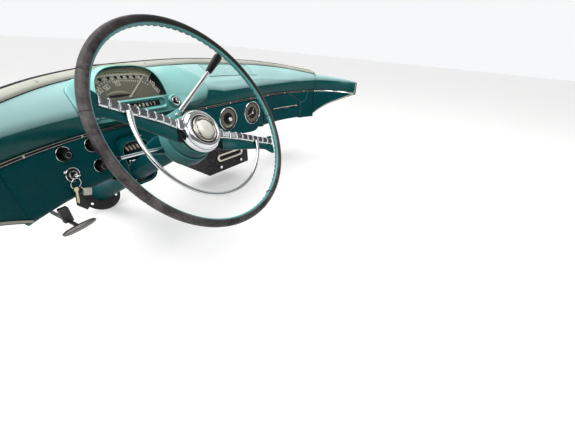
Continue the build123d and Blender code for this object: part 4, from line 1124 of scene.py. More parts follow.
def needle():
    """The shaded slot that the needle comes out of, the ridge over it, and the needle."""
    slot = Shape().plate(arc(32, 3.2, 0, tau, 32, (-20, 32.4))[:-1], CLUSTER, DIAL_AT, DIAL_AT + 0.5)
    slot.make("needle_slot", BLACK)
    rows = []
    for t in steps_between(0, 1, 32):
        u, w = mix(-53, 12, t), 36.5 + 6.0 * sin(pi * t)
        swell = max(sin(pi * t), 0.05)**0.5
        rows.append([CLUSTER.at(u, w + 3.0 * swell * cos(a), DIAL_AT + 2.6 * swell * max(sin(a), -0.1))
                     for a in steps_between(0, pi, 8)])
    Shape().grid(rows).make("dial_ridge", DIAL_LIGHT)
    rows = []
    for t, wide in ((0.0, 4.0), (0.1, 3.9), (0.5, 3.4), (0.95, 2.6), (1.0, 0.8)):
        u, w = (foot + NEEDLE_LONG * t * way
                for foot, way in zip(NEEDLE_FOOT, (cos(NEEDLE_ANGLE), sin(NEEDLE_ANGLE))))
        spot = CLUSTER.moved(u, w, DIAL_AT + 4.0, NEEDLE_ANGLE)
        rows.append([spot.at(0, a * wide / 2, b * 0.5) for a, b in ((-1, 0), (0, 1), (1, 0), (0, -1))])
    shape = Shape().grid(rows, close_u=True, flip=True, ends=True)
    boss = [(radius, DIAL_AT + h) for radius, h in ((3.4, 0), (3.4, 4), (2.6, 5.2), (0, 5.4))]
    shape.lathe(CLUSTER.moved(*NEEDLE_FOOT), boss, 24)
    shape.make("speedometer_pointer", POINTER, replaced=("speedometer_needle",))


def counter():
    """The raised rounded frame of the distance counter, its sunk floor, and the wheels in their window."""
    profile = ((0, -4), (0, 1.5), (0.6, 4.6), (2.2, 7.0), (4.6, 8.2), (7.0, 7.8), (9.0, 6.0), (10.2, 3.4),
               (10.9, 1.8), (11.4, 1.2))
    middle = (-1.0, -3.2)
    rows = []
    for inset, h in profile:
        outline = rounded_box(186 - 2 * inset, 39 - 2 * inset, max(15 - inset, 3.0), 7, middle)
        rows.append([CLUSTER.at(u, w, h) for u, w in outline])
    shape = Shape().grid(rows, close_u=True)
    shape.fan(rows[-1], CLUSTER.at(*middle, 1.2))
    shape.make("counter_frame", SEA_GREEN, replaced=("odometer_bar",), angle=50)
    window = Shape().plate(rounded_box(96, 13, 1.5, 3, (22.0, -2.0)), CLUSTER, 1.2, 2.2, 0.5)
    window.make("counter_window", BLACK, replaced=("odometer_window",))
    wheels, figures = Shape(), Shape()
    for k, figure in enumerate("042817"):
        spot = CLUSTER.moved(-6.5 + 11.4 * k, -2.0, 2.2)
        wheels.grid([[spot.at(a, 4.6 * sin(b), 1.4 * cos(b) - 0.4) for a in (-5.0, -4.7, 4.7, 5.0)]
                     for b in steps_between(-1.3, 1.3, 8)])
        number(figures, spot.moved(0, 0, 1.05), figure, 7.0, 1.5)
    wheels.make("counter_wheels", BLACK)
    figures.make("counter_figures", MARKS)


def fascia():
    """The panel under the dial with a round boss and knob at each end, and a small pocket."""
    outline = rounded_box(270, 47, 12, 6, (5.0, -6.5))
    Shape().plate(outline, CLUSTER, -6.0, 0.6, 2.0).make("instrument_fascia", SEA_GREEN)
    boss = ((20.6, -6), (20.4, 1.0), (19.8, 4.0), (18.6, 6.2), (16.6, 7.4), (14.6, 7.4), (13.6, 6.4),
            (13.0, 4.4), (12.8, 1.0))
    rim = ((13.4, 4.6), (13.6, 7.6), (12.9, 9.2), (11.7, 9.8), (10.4, 9.2), (9.9, 7.4), (9.7, 2.4))
    well = ((10.2, 2.2), (9.8, 3.4), (0, 3.4))
    knob = ((3.2, 3), (3.2, 9), (5.2, 10.2), (5.6, 12.0), (5.3, 15.4), (4.2, 16.6), (0, 17.0))
    for name, finish, profile, steps, replaced in (
            ("instrument_bosses", SEA_GREEN, boss, 48, ("cluster_bosses",)),
            ("instrument_boss_rims", CHROME, rim, 40, ()),
            ("instrument_boss_wells", BLACK, well, 32, ()),
            ("instrument_knobs", CHROME, knob, 32, ("cluster_knobs",))):
        pair = Shape()
        for u in (-119.0, 121.0):
            pair.lathe(CLUSTER.moved(u, -5), profile, steps)
        pair.make(name, finish, replaced=replaced)
    Shape().plate(POCKET, CLUSTER, 0.2, 1.2).make("fascia_pocket", BLACK)
    edge = [CLUSTER.at(u, w, 1.8) for u, w in POCKET_EDGE]
    Shape().tube(spline(edge, 6), 1.7, 10).make("fascia_pocket_edge", SEA_GREEN)


dial()
dial_marks()
needle()
counter()
fascia()


# Garnish moulding under the windscreen

MOULDING_SCREWS = (-506, -350, -195, 130, 290, 440, 560)
MOULDING_JOINT = (-38, 18)
MOULDING_SECTION = ((2.5, -1.5), (0.6, 0.6), (0.2, 3.6), (1.0, 5.6), (3.0, 7.2), (11.0, 10.4), (18.6, 13.2),
                    (20.4, 13.2), (21.4, 11.6), (21.6, 6.0))


def moulding_point(x, a, b):
    """A point of the moulding: a forward of the roll's top edge and b above it."""
    depth, top_z = row_at(x)[:2]
    return Vector((x, line_y(x) + depth + a, top_z + b))


def garnish():
    """The cream strip with its screws, joint cover and rubber seams."""
    width = [(SEAM_X + 1) * (i / 90 - 1) for i in range(181)]
    Shape().grid([[moulding_point(x, a, b) for a, b in MOULDING_SECTION] for x in width]).make(
        "windscreen_moulding", CREAM, replaced=("garnish_moulding",), sheet=1.2)
    seal = Shape()
    for a, b, radius in ((24.5, 13.0, 3.6), (33.0, 10.0, 5.0)):
        seal.tube([moulding_point(x, a, b) for x in width[::3]], radius, 10)
    seal.make("windscreen_seal", RUBBER)
    Shape().tube([moulding_point(x, -0.2, 0.2) for x in width[::2]], 1.3, 8).make("moulding_seam", RUBBER)
    screws = Shape()
    for x in MOULDING_SCREWS:
        spot = moulding_point(x, 9.5, 10.2)
        over = (moulding_point(x, 18.6, 13.2) - moulding_point(x, 3.0, 7.2)).normalized()
        side = (moulding_point(x + 1, 9.5, 10.2) - spot).normalized()
        screws.lathe(Place(spot, side, side.cross(over)),
                     ((4.6, -1.5), (4.5, 0.4), (3.6, 1.3), (1.6, 1.9), (0, 2.0)), 24)
    screws.make("moulding_screws", PLATED_STEEL)
    rows = []
    for i, x in enumerate(steps_between(*MOULDING_JOINT, 8)):
        rise = 1.6 if 0 < i < 8 else 0.4
        rows.append([moulding_point(x, a - 0.3 * rise, b + rise) for a, b in MOULDING_SECTION[1:9]])
    Shape().grid(rows).make("moulding_joint", CREAM)


garnish()


# Lower pressing, corner caps and the strip between the two colours

SEAM_TURN = asin((SEAM_X - BEND_X) / BEND_R)
CAP_MIDDLE = (SEAM_X - CAP_R * sin(SEAM_TURN), line_y(SEAM_X) - CAP_R * cos(SEAM_TURN))
CAP_ARC = CAP_R * (pi / 2 - SEAM_TURN)
CAP_LENGTH = CAP_ARC + 33.0
CAP_EDGE = ((-3, -257), (0, -254), (40, -229), (90, -201), (143, -178), (183, -160), (222, -143),
            (238, -132), (245, -116), (246, -92), (246, -76))
SURROUND = Place((-361, -174, -237), (1, 0, 0), (0, -1, 0))
SURROUND_HALF = (47.0, 72.0)
ROLL_START, ROLL_R = -247.0, 27.0
STRIP_BEAD = ((-0.5, 1.25), (2.4, 1.2), (3.9, 0.8), (4.5, 0.0), (3.9, -0.8), (2.4, -1.2), (-0.5, -1.25))
STRIP_GROOVE = ((0.0, 2.4), (2.0, 1.8), (2.0, -1.8), (0.0, -2.4))
STRIP_CLIPS = (-610, -480, -190, -60, 70, 200, 330, 460, 590)
CAP_BEAD = ((-0.5, 4.0), (2.0, 3.9), (4.0, 2.7), (4.9, 0.0), (4.0, -2.7), (2.0, -3.9), (-0.5, -4.0))
DOOR_BEND = ((617, -139), (615, -158), (609, -176), (597, -187), (584, -190), (573, -188))


def cap_point(side, s, z, proud=0.0):
    """A point of a corner cap: s runs from the seam, round the corner and along the door post."""
    reach = CAP_R - proud
    if s < CAP_ARC:
        angle = SEAM_TURN + s / CAP_R
        x, y = CAP_MIDDLE[0] + reach * sin(angle), CAP_MIDDLE[1] + reach * cos(angle)
    else:
        x, y = CAP_MIDDLE[0] + reach, CAP_MIDDLE[1] - (s - CAP_ARC)
    return Vector((side * x, y, z))


def cap_floor(s):
    """Height of the cap's lower edge."""
    for (s0, z0), (s1, z1) in zip(CAP_EDGE, CAP_EDGE[1:]):
        if s <= s1:
            return mix(z0, z1, (s - s0) / (s1 - s0))
    return CAP_EDGE[-1][1]


def lower_pressing():
    """The deep teal panel with its rolled lower edge, open at the column and at the glove box."""
    hole = (SURROUND.origin.x - 40, SURROUND.origin.x + 40)
    door = (DOOR_X[0] - 5, DOOR_X[1] + 5)
    width = [SEAM_X * (i / 56 - 1) for i in range(113)]
    width = sorted(set([x for x in width if min(abs(x - e) for e in hole + door) > 4] + list(hole + door)))
    rise = [(z, 0.0) for z in (-137, -152, -172, -194, -214, -232, ROLL_START)]
    rise += [(ROLL_START, angle) for angle in steps_between(0, pi / 2, 8)[1:]]
    shape = Shape()
    for x in width:
        share = 1 - smooth((x - 240) / 50)
        for z, a in rise:
            roll_z, roll_y = z - ROLL_R * sin(a), ROLL_R * (1 - cos(a))
            flat_z = z - ROLL_R * a / (pi / 2)
            shape.verts.append(Vector((x, line_y(x) + share * roll_y, mix(flat_z, roll_z, share))))
        shape.verts.append(shape.verts[-1] + Vector((0, LIP_DEPTH * 0.8, 0.5)))
    tall = len(rise) + 1
    for i in range(len(width) - 1):
        x = (width[i] + width[i + 1]) / 2
        for a in range(i * tall, i * tall + tall - 1):
            if door[0] < x < door[1] or hole[0] < x < hole[1] and shape.verts[a].z < -170:
                continue
            shape.faces.append((a, a + 1, a + tall + 1, a + tall))
    shape.make("lower_pressing", DEEP_TEAL, replaced=("lower_panel",), sheet=1.6)


def glove_cut(x):
    """Height of the slanted line across the upper corner of the glove box opening."""
    return -141 - (x - DOOR_X[1] + 72) * 0.597


def glove_opening():
    """The flange behind the gap round the glove door, the pressed corner, and lighter teal lines along its
    edges as painted highlights.
    """
    low, high = DOOR_X[0] - 12, DOOR_X[1] + 12
    flange = Shape()
    for x0, x1, z in ((low, low + 20, -272), (high - 20, high, -272), (low, high, -152)):
        flange.grid([face_line([(x, edge) for x in steps_between(x0, x1, 24)], -7.0) for edge in (z, -132)])
    slant = steps_between(DOOR_X[1] - 80, DOOR_X[1] + 8, 8)
    flange.grid([face_line([(x, glove_cut(x) + rise) for x in slant], -6.0) for rise in (-7, 11)])
    flange.make("glove_opening_flange", BLACK)
    corner = [face_line([(x, max(min(glove_cut(x), -141) + 4.6, -183)), (x, -137)], 0.0)
              for x in steps_between(DOOR_X[1] - 68, DOOR_X[1] + 5, 12)]
    Shape().grid(corner).make("glove_opening_corner", DEEP_TEAL, sheet=1.4)
    x = DOOR_X[1] + 5.5
    # Lighter teal lines along the opening's edges, as painted highlights.
    edges = Shape()
    edges.tube(face_line([(x, z) for z in (-184, -210, -240, -264)], 0.3), 1.3, 8)
    edges.tube(face_line(zip(steps_between(x - 76, x, 8), steps_between(-138.5, -182, 8)), 0.3), 1.3, 8)
    edges.tube(face_line(spline(DOOR_BEND, 5), 0.2), 0.9, 8)
    edges.make("glove_opening_edges", TEAL_HIGHLIGHT)


def corner_caps():
    """Each cap: sea green above the strip and deep teal below, with cream piping along its lower edge."""
    piping = spline(CAP_EDGE, 5)
    for side, name in SIDES.items():
        rows = []
        for s in steps_between(0.6 if side > 0 else 0.02, CAP_LENGTH - 16, 44):
            low = min(cap_floor(s), -137.2)
            rows.append([cap_point(side, s, z) for z in steps_between(-137, low, 6)])
        Shape().grid(rows, flip=side > 0).make(
            "corner_cap_lower_" + name, DEEP_TEAL, replaced=("corner_cap_" + name,), sheet=1.6)
        rows = []
        for t in steps_between(0, 1, 44):
            s, top, bulge = mix(0.6, CAP_LENGTH - 2, t), mix(-50, -73, t), mix(9, 5, t)
            rows.append([cap_point(side, s, mix(-129, top, k / 10), bulge * 0.04 * k * (10 - k) - 0.3 * k)
                         for k in range(11)])
        Shape().grid(rows, flip=side < 0).make("corner_cap_upper_" + name, ROLL_GREEN, sheet=1.6)
        for piece, finish, proud, radius in (("door_piping_", CREAM, 2.4, 3.0),
                                             ("door_piping_seat_", RUBBER, 0.4, 4.4)):
            line = [cap_point(side, s, z, proud) for s, z in piping]
            Shape().tube(line, radius, 12).make(piece + name, finish)
        seam = Shape()
        if side > 0:
            seam.tube([Vector((SEAM_X, line_y(SEAM_X) - 0.4, z)) for z in (-254, -220, -180, -137)], 1.5, 8)
        seam.tube([roll_point(side * SEAM_X, k, 0.1) for k in steps_between(0, 1, 8)], 1.1, 8)
        seam.make("corner_seam_" + name, RUBBER)


def chrome_strips():
    """Two thin beads with a dark groove between them, and one wide bead on each corner cap."""
    width = [SEAM_X * (i / 80 - 1) for i in range(161)]
    beads, groove, clips, caps = Shape(), Shape(), Shape(), Shape()
    for shape, section, middle in ((beads, STRIP_BEAD, 2.75), (beads, STRIP_BEAD, -2.75),
                                   (groove, STRIP_GROOVE, 0.0)):
        shape.grid([[face_place(x, STRIP_Z + middle + rise, out).origin for out, rise in section]
                    for x in width], flip=True)
    beads.make("strip_beads", STRIP_METAL, replaced=("chrome_strip",))
    groove.make("strip_groove", BLACK)
    for x in STRIP_CLIPS:
        clips.plate(rounded_box(5.0, 7.4, 1.2, 3), face_place(x, STRIP_Z, 2.0), 0.0, 3.0, 0.8)
    clips.make("strip_clips", STRIP_METAL)
    for side in SIDES:
        caps.grid([[cap_point(side, s, STRIP_Z + rise, out) for out, rise in CAP_BEAD]
                   for s in steps_between(1.6, CAP_LENGTH - 12, 40)], flip=side > 0)
    caps.make("corner_strips", CHROME, replaced=("cap_strips",))


lower_pressing()
glove_opening()
corner_caps()
chrome_strips()


# Controls on the lower pressing

# Switches: x, z and how far each is set off from there
SWITCHES = ((-533, -161, -3, 3), (-464, -161, -2, 2), (-463, -215, -1, 0))
SWITCH_RING = ((18.4, 0), (18.7, 1.6), (18.3, 3.4), (17.6, 4.2), (16.8, 4.0), (16.4, 2.8), (16.3, 0.8))
# Knob of a switch: radius, height and depth of the flutes
SWITCH_KNOB = ((8.0, 2.2, 0.0), (8.4, 4.0, 0.0), (11.8, 4.6, 0.6), (12.6, 6.0, 0.9), (12.4, 13.6, 0.9),
               (11.6, 15.4, 0.7), (10.2, 16.4, 0.0), (8.0, 16.2, 0.0), (7.6, 15.2, 0.0), (0.02, 15.0, 0.0))
FLUTES = 16
KEY_LIFT = 10.0
BRAKE_GRIP = Vector((-585, -244, -312))
SURROUND_SECTION = ((0, -26), (0, -8), (0.8, -3.0), (2.6, -0.4), (5.4, 0.6), (8.0, 0.2), (9.6, -1.6),
                    (10.2, -4.6), (10.4, -14))


def switches():
    """Push-pull switches: thin bright ring, black dish and fluted black knob."""
    rings, dishes, knobs, trims = Shape(), Shape(), Shape(), Shape()
    for x, z, du, dw in SWITCHES:
        place = face_place(x, z).moved(du, dw)
        rings.lathe(place, SWITCH_RING, 48)
        dishes.lathe(place, ((16.4, 0.6), (15.4, 2.0), (12.0, 2.4), (0, 2.4)), 36)
        turns = [tau * j / (6 * FLUTES) for j in range(6 * FLUTES)]
        knobs.grid([[place.polar(radius + flute * cos(FLUTES * a), a, height) for a in turns]
                    for radius, height, flute in SWITCH_KNOB], close_u=True)
        trims.lathe(place, ((7.4, 15.0), (7.4, 15.9), (6.6, 16.2), (5.8, 15.9), (5.8, 15.0)), 32)
    rings.make("switch_rings", CHROME, replaced=("switch_bezels",))
    dishes.make("switch_dishes", BLACK)
    trims.make("switch_knob_trims", DARK_CHROME)
    knobs.make("switch_fluted_knobs", BLACK, replaced=("switch_knobs",))


def ignition():
    """The lock with its key in it, and a second key and a bare tag hanging from the wire ring."""
    lock = face_place(-533, -212).moved(-3, 3)
    bright, dark, key = Shape(), Shape(), Shape()
    bright.lathe(lock, ((17.8, 0), (18.2, 1.6), (17.8, 3.2), (17.0, 4.0), (16.0, 3.6), (15.6, 0.8)), 48)
    bright.lathe(lock, ((10.8, 0), (11.0, 4.0), (10.4, 5.6), (9.2, 6.0), (8.2, 5.4), (8.0, 3.2)), 40)
    bright.plate(rounded_box(7, 5, 1.6, 3), lock.moved(-15.5, 12.5, 0, 0.7), 0, 4.4, 1.2)
    bright.make("ignition_rings", CHROME, replaced=("ignition_lock",))
    dark.lathe(lock, ((15.8, 0.6), (14.0, 1.4), (10.6, 1.4)), 40)
    dark.lathe(lock, ((8.1, 3.0), (0, 3.0)), 24)
    dark.make("ignition_gap", BLACK)
    key.plate(rounded_box(7.4, 2.2, 0.8, 3), lock, 3.0, 8.0, 0.6)
    key.tube([lock.at(u, 0, h) for u, h in arc(6.4, 6.0, 0, tau, 24, (0, 13.4))], 1.7, 10)
    key.make("ignition_key_bow", CHROME, replaced=("ignition_key",))
    wire = [lock.at(-8 + 13 * cos(a), -19 + 13 * sin(a), KEY_LIFT + 2.5 * sin(a))
            for a in steps_between(0, tau, 36)]
    Shape().tube(wire, 0.9, 8).make("key_wire", CHROME)
    bow = arc(6.4, 6.2, radians(-60), radians(300), 18)
    blade = [(-3.0, -8.0), (-2.8, -33.0), (0.2, -35.5), (2.8, -33.0), (2.8, -8.0)]
    hang = lock.moved(-12.0, -33.0, KEY_LIFT - 3, radians(-14))
    Shape().plate(bow + blade, hang, 0, 2.2, 0.5).make("spare_key", BRASS)
    tag = lock.moved(12.0, -51.0, KEY_LIFT - 3, radians(-24))
    Shape().plate(rounded_box(23, 19, 2.5, 4), tag, 0, 2.4, 0.7).make("bare_key_tag", PLATED_STEEL)
    link = [lock.at(-1.0, -30.0, KEY_LIFT), lock.at(2.0, -36.0, KEY_LIFT), lock.at(3.4, -43.0, KEY_LIFT - 1)]
    Shape().tube(spline(link, 5), 1.2, 8).make("key_tag_link", BRASS)
    strap = [(-18, -50), (-24, -72), (-5, -96), (3, -92), (-2, -58), (-9, -44)]
    Shape().plate(strap, lock.moved(0, 0, KEY_LIFT - 6), 0, 1.8, 0.5).make("key_strap", RUBBER)


def surround_line(inset, radius, h):
    """A closed line round the surround, moved in from its edge."""
    wide, tall = (2 * (half - inset) for half in SURROUND_HALF)
    return [SURROUND.at(u, w, h) for u, w in rounded_box(wide, tall, radius, 8)]


def surround_plate():
    """The flat plate in the surround, with a round hole for the column."""
    halves, middle = [half - 10.2 for half in SURROUND_HALF], (-10.0, -31.0)
    inner = [SURROUND.at(u, w, -15) for u, w in arc(30, 35, 0, tau, 64, middle)[:-1]]
    outer = []
    for i in range(64):
        ways = (cos(tau * i / 64), sin(tau * i / 64))
        reach = min(((half if way > 0 else -half) - start) / way
                    for half, start, way in zip(halves, middle, ways) if abs(way) > 1e-6)
        outer.append(SURROUND.at(*(start + reach * way for start, way in zip(middle, ways)), -12))
    Shape().grid([outer, inner], close_u=True).make("column_surround_plate", DEEP_TEAL, sheet=1.2)


def surround():
    """The arched pressing round the column with the vent levers in it."""
    rows = [surround_line(inset, max(32 - inset, 6), h) for inset, h in SURROUND_SECTION]
    Shape().grid(rows, close_u=True).make(
        "column_surround_lip", DEEP_TEAL, replaced=("column_surround",), angle=50)
    # A lighter teal line along the lip's inner edge, as a painted highlight.
    edge = surround_line(8.8, 23, -0.6)
    Shape().tube(edge + edge[:1], 0.9, 8, caps=False).make("column_surround_edge", TEAL_HIGHLIGHT)
    surround_plate()
    recess = Shape().plate(rounded_box(68, 36, 12, 5, (-1, 43)), SURROUND, -13, -9, 0.8)
    recess.make("vent_recess", BLACK, replaced=("vent_control",))
    levers = Shape()
    for k in range(5):
        spot = SURROUND.moved(-24.0 + 10.4 * k, 44.0, -9, radians(14))
        levers.plate(rounded_box(3.4, 13, 1.4, 3), spot, 0, 7.0, 1.0)
    levers.make("vent_levers", IVORY)
    bar = Shape().plate(rounded_box(66, 7, 2.4, 4, (-3, 25)), SURROUND, -12, -3, 1.6)
    bar.make("vent_bar", DEEP_TEAL)
    screw = ((4.8, -12), (4.8, -9.4), (3.8, -8.2), (2.0, -7.6), (0, -7.5))
    turned("surround_screw", CHROME, SURROUND.moved(-22, 4), screw, 24)
    links = Shape()
    for near, far, radius in (((-33, -30, -8), (-24, -40, -6), 2.2), ((-34, -46, -8), (-16, -43, -4), 1.5),
                              ((-30, -56, -8), (-14, -47, -4), 1.3)):
        links.tube([SURROUND.at(*near), SURROUND.at(*far)], radius, 10)
    links.make("vent_linkage", OLD_CHROME)


switches()
ignition()
surround()


# Radio dial, clock and their pod

RADIO_R, CLOCK_R = 46.0, 48.0


def pod():
    """The pod's body, with square upper corners and round lower ones."""
    outline = arc(10, 10, 0, pi / 2, 6, (107, 34)) + arc(10, 10, pi / 2, pi / 2, 6, (-120, 34))
    outline += arc(48, 38, pi, pi / 2, 10, (-82, -38)) + [(-10, -80), (40, -84)]
    outline += arc(47, 43, pi * 1.5, pi / 2, 12, (70, -42))
    Shape().plate(outline, POD, -40, 0, 5.0).make("instrument_pod", DEEP_TEAL, replaced=("centre_pod",))


def dials():
    """Bright rings, dark centres and brushed face rings of both units, and the radio's knob."""
    rings, gaps, faces = Shape(), Shape(), Shape()
    for place, r in ((RADIO, RADIO_R), (CLOCK, CLOCK_R)):
        rings.lathe(place, ((r, -1), (r + 0.4, 1.6), (r - 0.2, 3.8), (r - 1.6, 4.8), (r - 3.0, 4.4),
                            (r - 3.8, 2.8), (r - 4.0, 0.6)), 72)
        gaps.lathe(place, ((r - 3.9, 0.4), (r - 5.0, 1.0), (r - 8.4, 1.0)), 60)
        faces.lathe(place, ((r - 8.0, 0.6), (r - 8.6, 2.0), (r - 11, 2.6), (r - 21, 1.8),
                            (r - 22.5, 0.8)), 60)
    gaps.lathe(RADIO, ((24.0, 0.6), (22.5, 2.0), (14.0, 2.6), (13.0, 6.0), (11.0, 7.0), (0, 7.0)), 48)
    gaps.lathe(CLOCK, ((26.0, 0.6), (24.5, 1.8), (0, 2.2)), 48)
    rings.make("pod_rings", CHROME, replaced=("radio_bezel", "clock_bezel"))
    gaps.make("pod_dark_centres", BLACK, replaced=("radio_face",))
    faces.make("pod_face_rings", DIAL, replaced=("clock_face",))
    knob = ((8.6, 6.6), (8.8, 12.0), (8.2, 15.4), (6.6, 17.0), (3.0, 17.6), (0, 17.7))
    turned("radio_bright_knob", CHROME, RADIO, knob, 36, replaced=("radio_knob",))


def around(place, radius, angle, h):
    """A place on a round face, turned outward."""
    return place.moved(radius * cos(angle), radius * sin(angle), h, angle)


def dial_details():
    """The marks on both faces and the clock's hands."""
    marks, dark, hands = Shape(), Shape(), Shape()
    bow = arc(31, 31, radians(-117), radians(54), 6)
    for line in zip(bow, bow[1:]):
        stroke(marks, RADIO, line, 4.0, 2.4)
    for k in range(12):
        dark.plate(rounded_box(7.5, 3.2, 0.8, 2), around(CLOCK, 36.0, tau * k / 12, 1.6), 0, 1.2)
    for k in range(-5, 6):
        dark.plate(rounded_box(5.5, 1.8, 0.6, 2), around(RADIO, 32.0, radians(90 - 22 * k), 1.4), 0, 1.2)
    marks.make("radio_bright_mark", MARKS)
    dark.make("pod_dial_marks", BLACK)
    for angle, long, half in ((62, 23, 0.9), (200, 30, 0.65)):
        outline = [(-5, -half), (long - 2, -half), (long, 0), (long - 2, half), (-5, half)]
        hands.plate(outline, CLOCK.moved(0, 0, 3.0, radians(angle)), 0, 0.8)
    hands.lathe(CLOCK, ((4.8, 2.0), (4.8, 5.2), (3.6, 6.2), (0, 6.5)), 24)
    hands.make("clock_bright_hands", OLD_CHROME, replaced=("clock_hands",))


def door_pull():
    """The thin bar across the glove door, with a round end and a short bar under it."""
    x0, x1, z = DOOR_X[0] + 62, DOOR_X[1] - 30, -200
    shape = Shape()
    shape.tube(face_line([(x, z) for x in steps_between(x0, x1, 16)], 11.5), 2.3, 12)
    for x in (x0 + 3, x1 - 3):
        shape.tube([face_place(x, z, proud).origin for proud in (1.0, 11.0)], 2.6, 12)
    shape.lathe(face_place(x1 - 1, z, 9.0), ((5.2, 0), (5.4, 2.6), (4.4, 4.6), (2.4, 5.4), (0, 5.6)), 24)
    shape.tube(face_line([(x, -207.5) for x in steps_between(x0 + 92, x0 + 124, 4)], 9.0), 1.6, 10)
    shape.make("glove_door_bar", OLD_CHROME, body="glove_door", replaced=("glove_door_pull",))


def brake_pull():
    """The parking brake's tapered grip on its rod, under the driver's end."""
    along = Vector((1, -0.02, 0.1)).normalized()
    Shape().tube([BRAKE_GRIP + along * t for t in (-36, -34, -26, -10, 8, 24, 33, 36)],
                 [1.5, 4.2, 6.6, 7.8, 7.8, 6.6, 4.4, 1.5], 20).make(
        "brake_pull_grip", DARK_GRIP, replaced=("brake_pull",))
    rod = Shape().tube([BRAKE_GRIP + Vector((0, d, 0)) for d in (4, 40, 80, 118)], 4.6, 14)
    hanger = Place((BRAKE_GRIP.x, line_y(BRAKE_GRIP.x) + 9, -294), (1, 0, 0), (0, -1, 0))
    rod.plate(rounded_box(20, 40, 3, 4), hanger, -4.2, 4.2, 1.0)
    rod.make("brake_pull_rod", DARK_STEEL)


def unit_face():
    """The unit's bright slotted front."""
    front = UNIT.moved(4, 14)
    ring = ((140, 34, 0), (140, 34, 6), (137.6, 31.6, 8.6), (132, 26, 9.8), (122, 19, 9.4), (118, 14, 7.6),
            (116.6, 12.4, 2.0))
    rows = [[front.at(u, w, h) for u, w in rounded_box(wide, tall, tall / 2 - 0.1, 8)]
            for wide, tall, h in ring]
    Shape().grid(rows, close_u=True).make("unit_slot_ring", OLD_CHROME, replaced=("unit_front",))
    Shape().plate(rounded_box(118, 13, 6.4, 8), front, 0.4, 2.4).make("unit_slot", BLACK)


pod()
dials()
dial_details()
door_pull()
brake_pull()
unit_face()


# Construction nodes that keep their shape

CARRIED = {
    STEEL: ("clock_case", "cluster_can", "cowl_rail", "door_hinge_arms", "glove_hinge_pin",
            "pillar_brackets", "radio_case", "steering_shaft", "unit_hangers"),
    DARK_STEEL: ("column_bracket", "toe_plate"),
    # The column jacket takes the deep teal, darker than the column head's enamel, as painted shade under the
    # dashboard.
    DEEP_TEAL: ("column_jacket", "glove_box_door"),
    GREY_CASE: ("glove_box_bin", "unit_case"),
    GLASS: ("cluster_lens",),
    RUBBER: ("speaker_grille",),
    CHROME: ("unit_knobs",),
}

for finish, names in CARRIED.items():
    for name in names:
        node = frame["nodes"][name]
        node.data.materials.clear()
        node.data.materials.append(finish)


# Floor, light and camera

FLOOR_GLOW = 0.33


def floor():
    """A plain floor that the camera and the metal see as near white, with the object's shadow on it."""
    f = Finish("floor_paint", rough=0.8, specular=0.2)
    seen = f.seen()
    pale = f.blend(f.span(f.noise(3.0, 4.0), 0.3, 0.7), (0.86, 0.86, 0.85, 1.0), (0.83, 0.83, 0.82, 1.0))
    f.set("Base Color", f.blend(seen, (0.26, 0.26, 0.255, 1.0), pale))
    f.set("Emission Color", (1.0, 1.0, 1.0, 1.0))
    f.set("Emission Strength", f.calc(seen, "MULTIPLY", FLOOR_GLOW))
    mesh = bpy.data.meshes.new("floor")
    size, low = 14.0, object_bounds()[0].z - 0.002
    corners = [(-size, -size, low), (size, -size, low), (size, size, low), (-size, size, low)]
    mesh.from_pydata(corners, [], [(0, 1, 2, 3)])
    mesh.materials.append(f.material)
    plane = bpy.data.objects.new("floor", mesh)
    bpy.context.scene.collection.objects.link(plane)
    plane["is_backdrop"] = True


def lamp(name, power, size, place, target):
    """A soft box light of the given width and height, aimed at a target."""
    light = bpy.data.lights.new(name, "AREA")
    light.shape = "RECTANGLE"
    light.size, light.size_y = size
    light.energy = power
    lamp_object = bpy.data.objects.new(name, light)
    lamp_object.location = place
    lamp_object.rotation_euler = (Vector(target) - Vector(place)).to_track_quat("-Z", "Y").to_euler()
    bpy.context.scene.collection.objects.link(lamp_object)


def sky_light(name, power, toward, width):
    """Even light from far off, as wide as the given angle in degrees."""
    light = bpy.data.lights.new(name, "SUN")
    light.energy = power
    light.angle = radians(width)
    sun = bpy.data.objects.new(name, light)
    sun.rotation_euler = Vector(toward).to_track_quat("Z", "Y").to_euler()
    bpy.context.scene.collection.objects.link(sun)


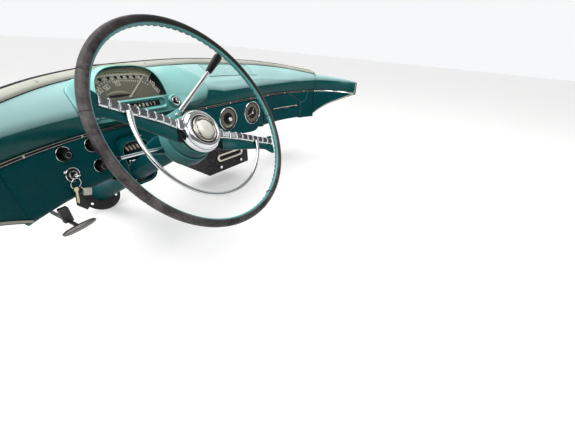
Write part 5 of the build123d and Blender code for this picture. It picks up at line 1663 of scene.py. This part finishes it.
def world():
    """Soft surroundings: pale round the horizon, greyer overhead and behind, and dimmer as a light."""
    scene_world = bpy.data.worlds.new("surroundings")
    scene_world.use_nodes = True
    nodes = Nodes(scene_world.node_tree)
    way = nodes.node("TexCoord", "Generated")
    over = nodes.span(nodes.part(way, "Z"), 0.35, 0.8, 1.0, 0.45, "SMOOTHSTEP")
    behind = nodes.span(nodes.part(way, "Y"), -0.25, -0.7, 1.0, 0.22, "SMOOTHSTEP")
    strength = nodes.span(nodes.seen(), 0.0, 1.0, 0.3, 1.0, "SMOOTHSTEP")
    tone = nodes.calc(over, "MULTIPLY", behind)
    shade = nodes.calc(tone, "MAXIMUM", nodes.node("LightPath", "Is Camera Ray"))
    background = scene_world.node_tree.nodes["Background"]
    background.inputs["Color"].default_value = (0.93, 0.94, 0.95, 1.0)
    nodes.feed(background.inputs["Strength"], nodes.calc(strength, "MULTIPLY", shade))
    bpy.context.scene.world = scene_world


def camera():
    """The photograph's viewpoint: a wide lens at the driver's left, looking across and down."""
    yaw, pitch, roll = radians(23.505), radians(-32.359), radians(4.764)
    focal, centre_u, centre_v = 263.0956, 315.338, 209.424
    wide, tall = 575, 431
    ahead = Vector((cos(pitch) * cos(yaw), cos(pitch) * sin(yaw), sin(pitch)))
    right = Vector((sin(yaw), -cos(yaw), 0))
    up = right.cross(ahead)
    rolled_right = right * cos(roll) + up * sin(roll)
    rolled_up = up * cos(roll) - right * sin(roll)
    data = bpy.data.cameras.new("camera")
    data.sensor_width = 36.0
    data.lens = focal * data.sensor_width / wide
    data.shift_x = (wide / 2 - centre_u) / wide
    data.shift_y = (centre_v - tall / 2) / wide
    data.clip_start, data.clip_end = 0.01, 100
    eye = bpy.data.objects.new("camera", data)
    turn = Matrix((rolled_right, rolled_up, -ahead)).transposed().to_4x4()
    eye.matrix_world = Matrix.Translation(Vector((-806.864, -948.144, 99.313)) * MM) @ turn
    bpy.context.scene.collection.objects.link(eye)
    bpy.context.scene.camera = eye


floor()
sky_light("sky_light", 1.5, (-0.2, 0.45, 1.6), 44)
lamp("windscreen_light", 9.0, (2.4, 1.2), (0.2, 1.5, 1.5), (0.0, -0.1, -0.1))
lamp("left_light", 19.0, (1.4, 1.0), (-2.3, -0.6, 1.1), (-0.2, -0.3, -0.1))
lamp("rear_light", 39.0, (2.6, 1.6), (-0.5, -2.2, 1.9), (0.0, -0.2, -0.2))
world()
camera()

view = bpy.context.scene.view_settings
view.view_transform = "Standard"
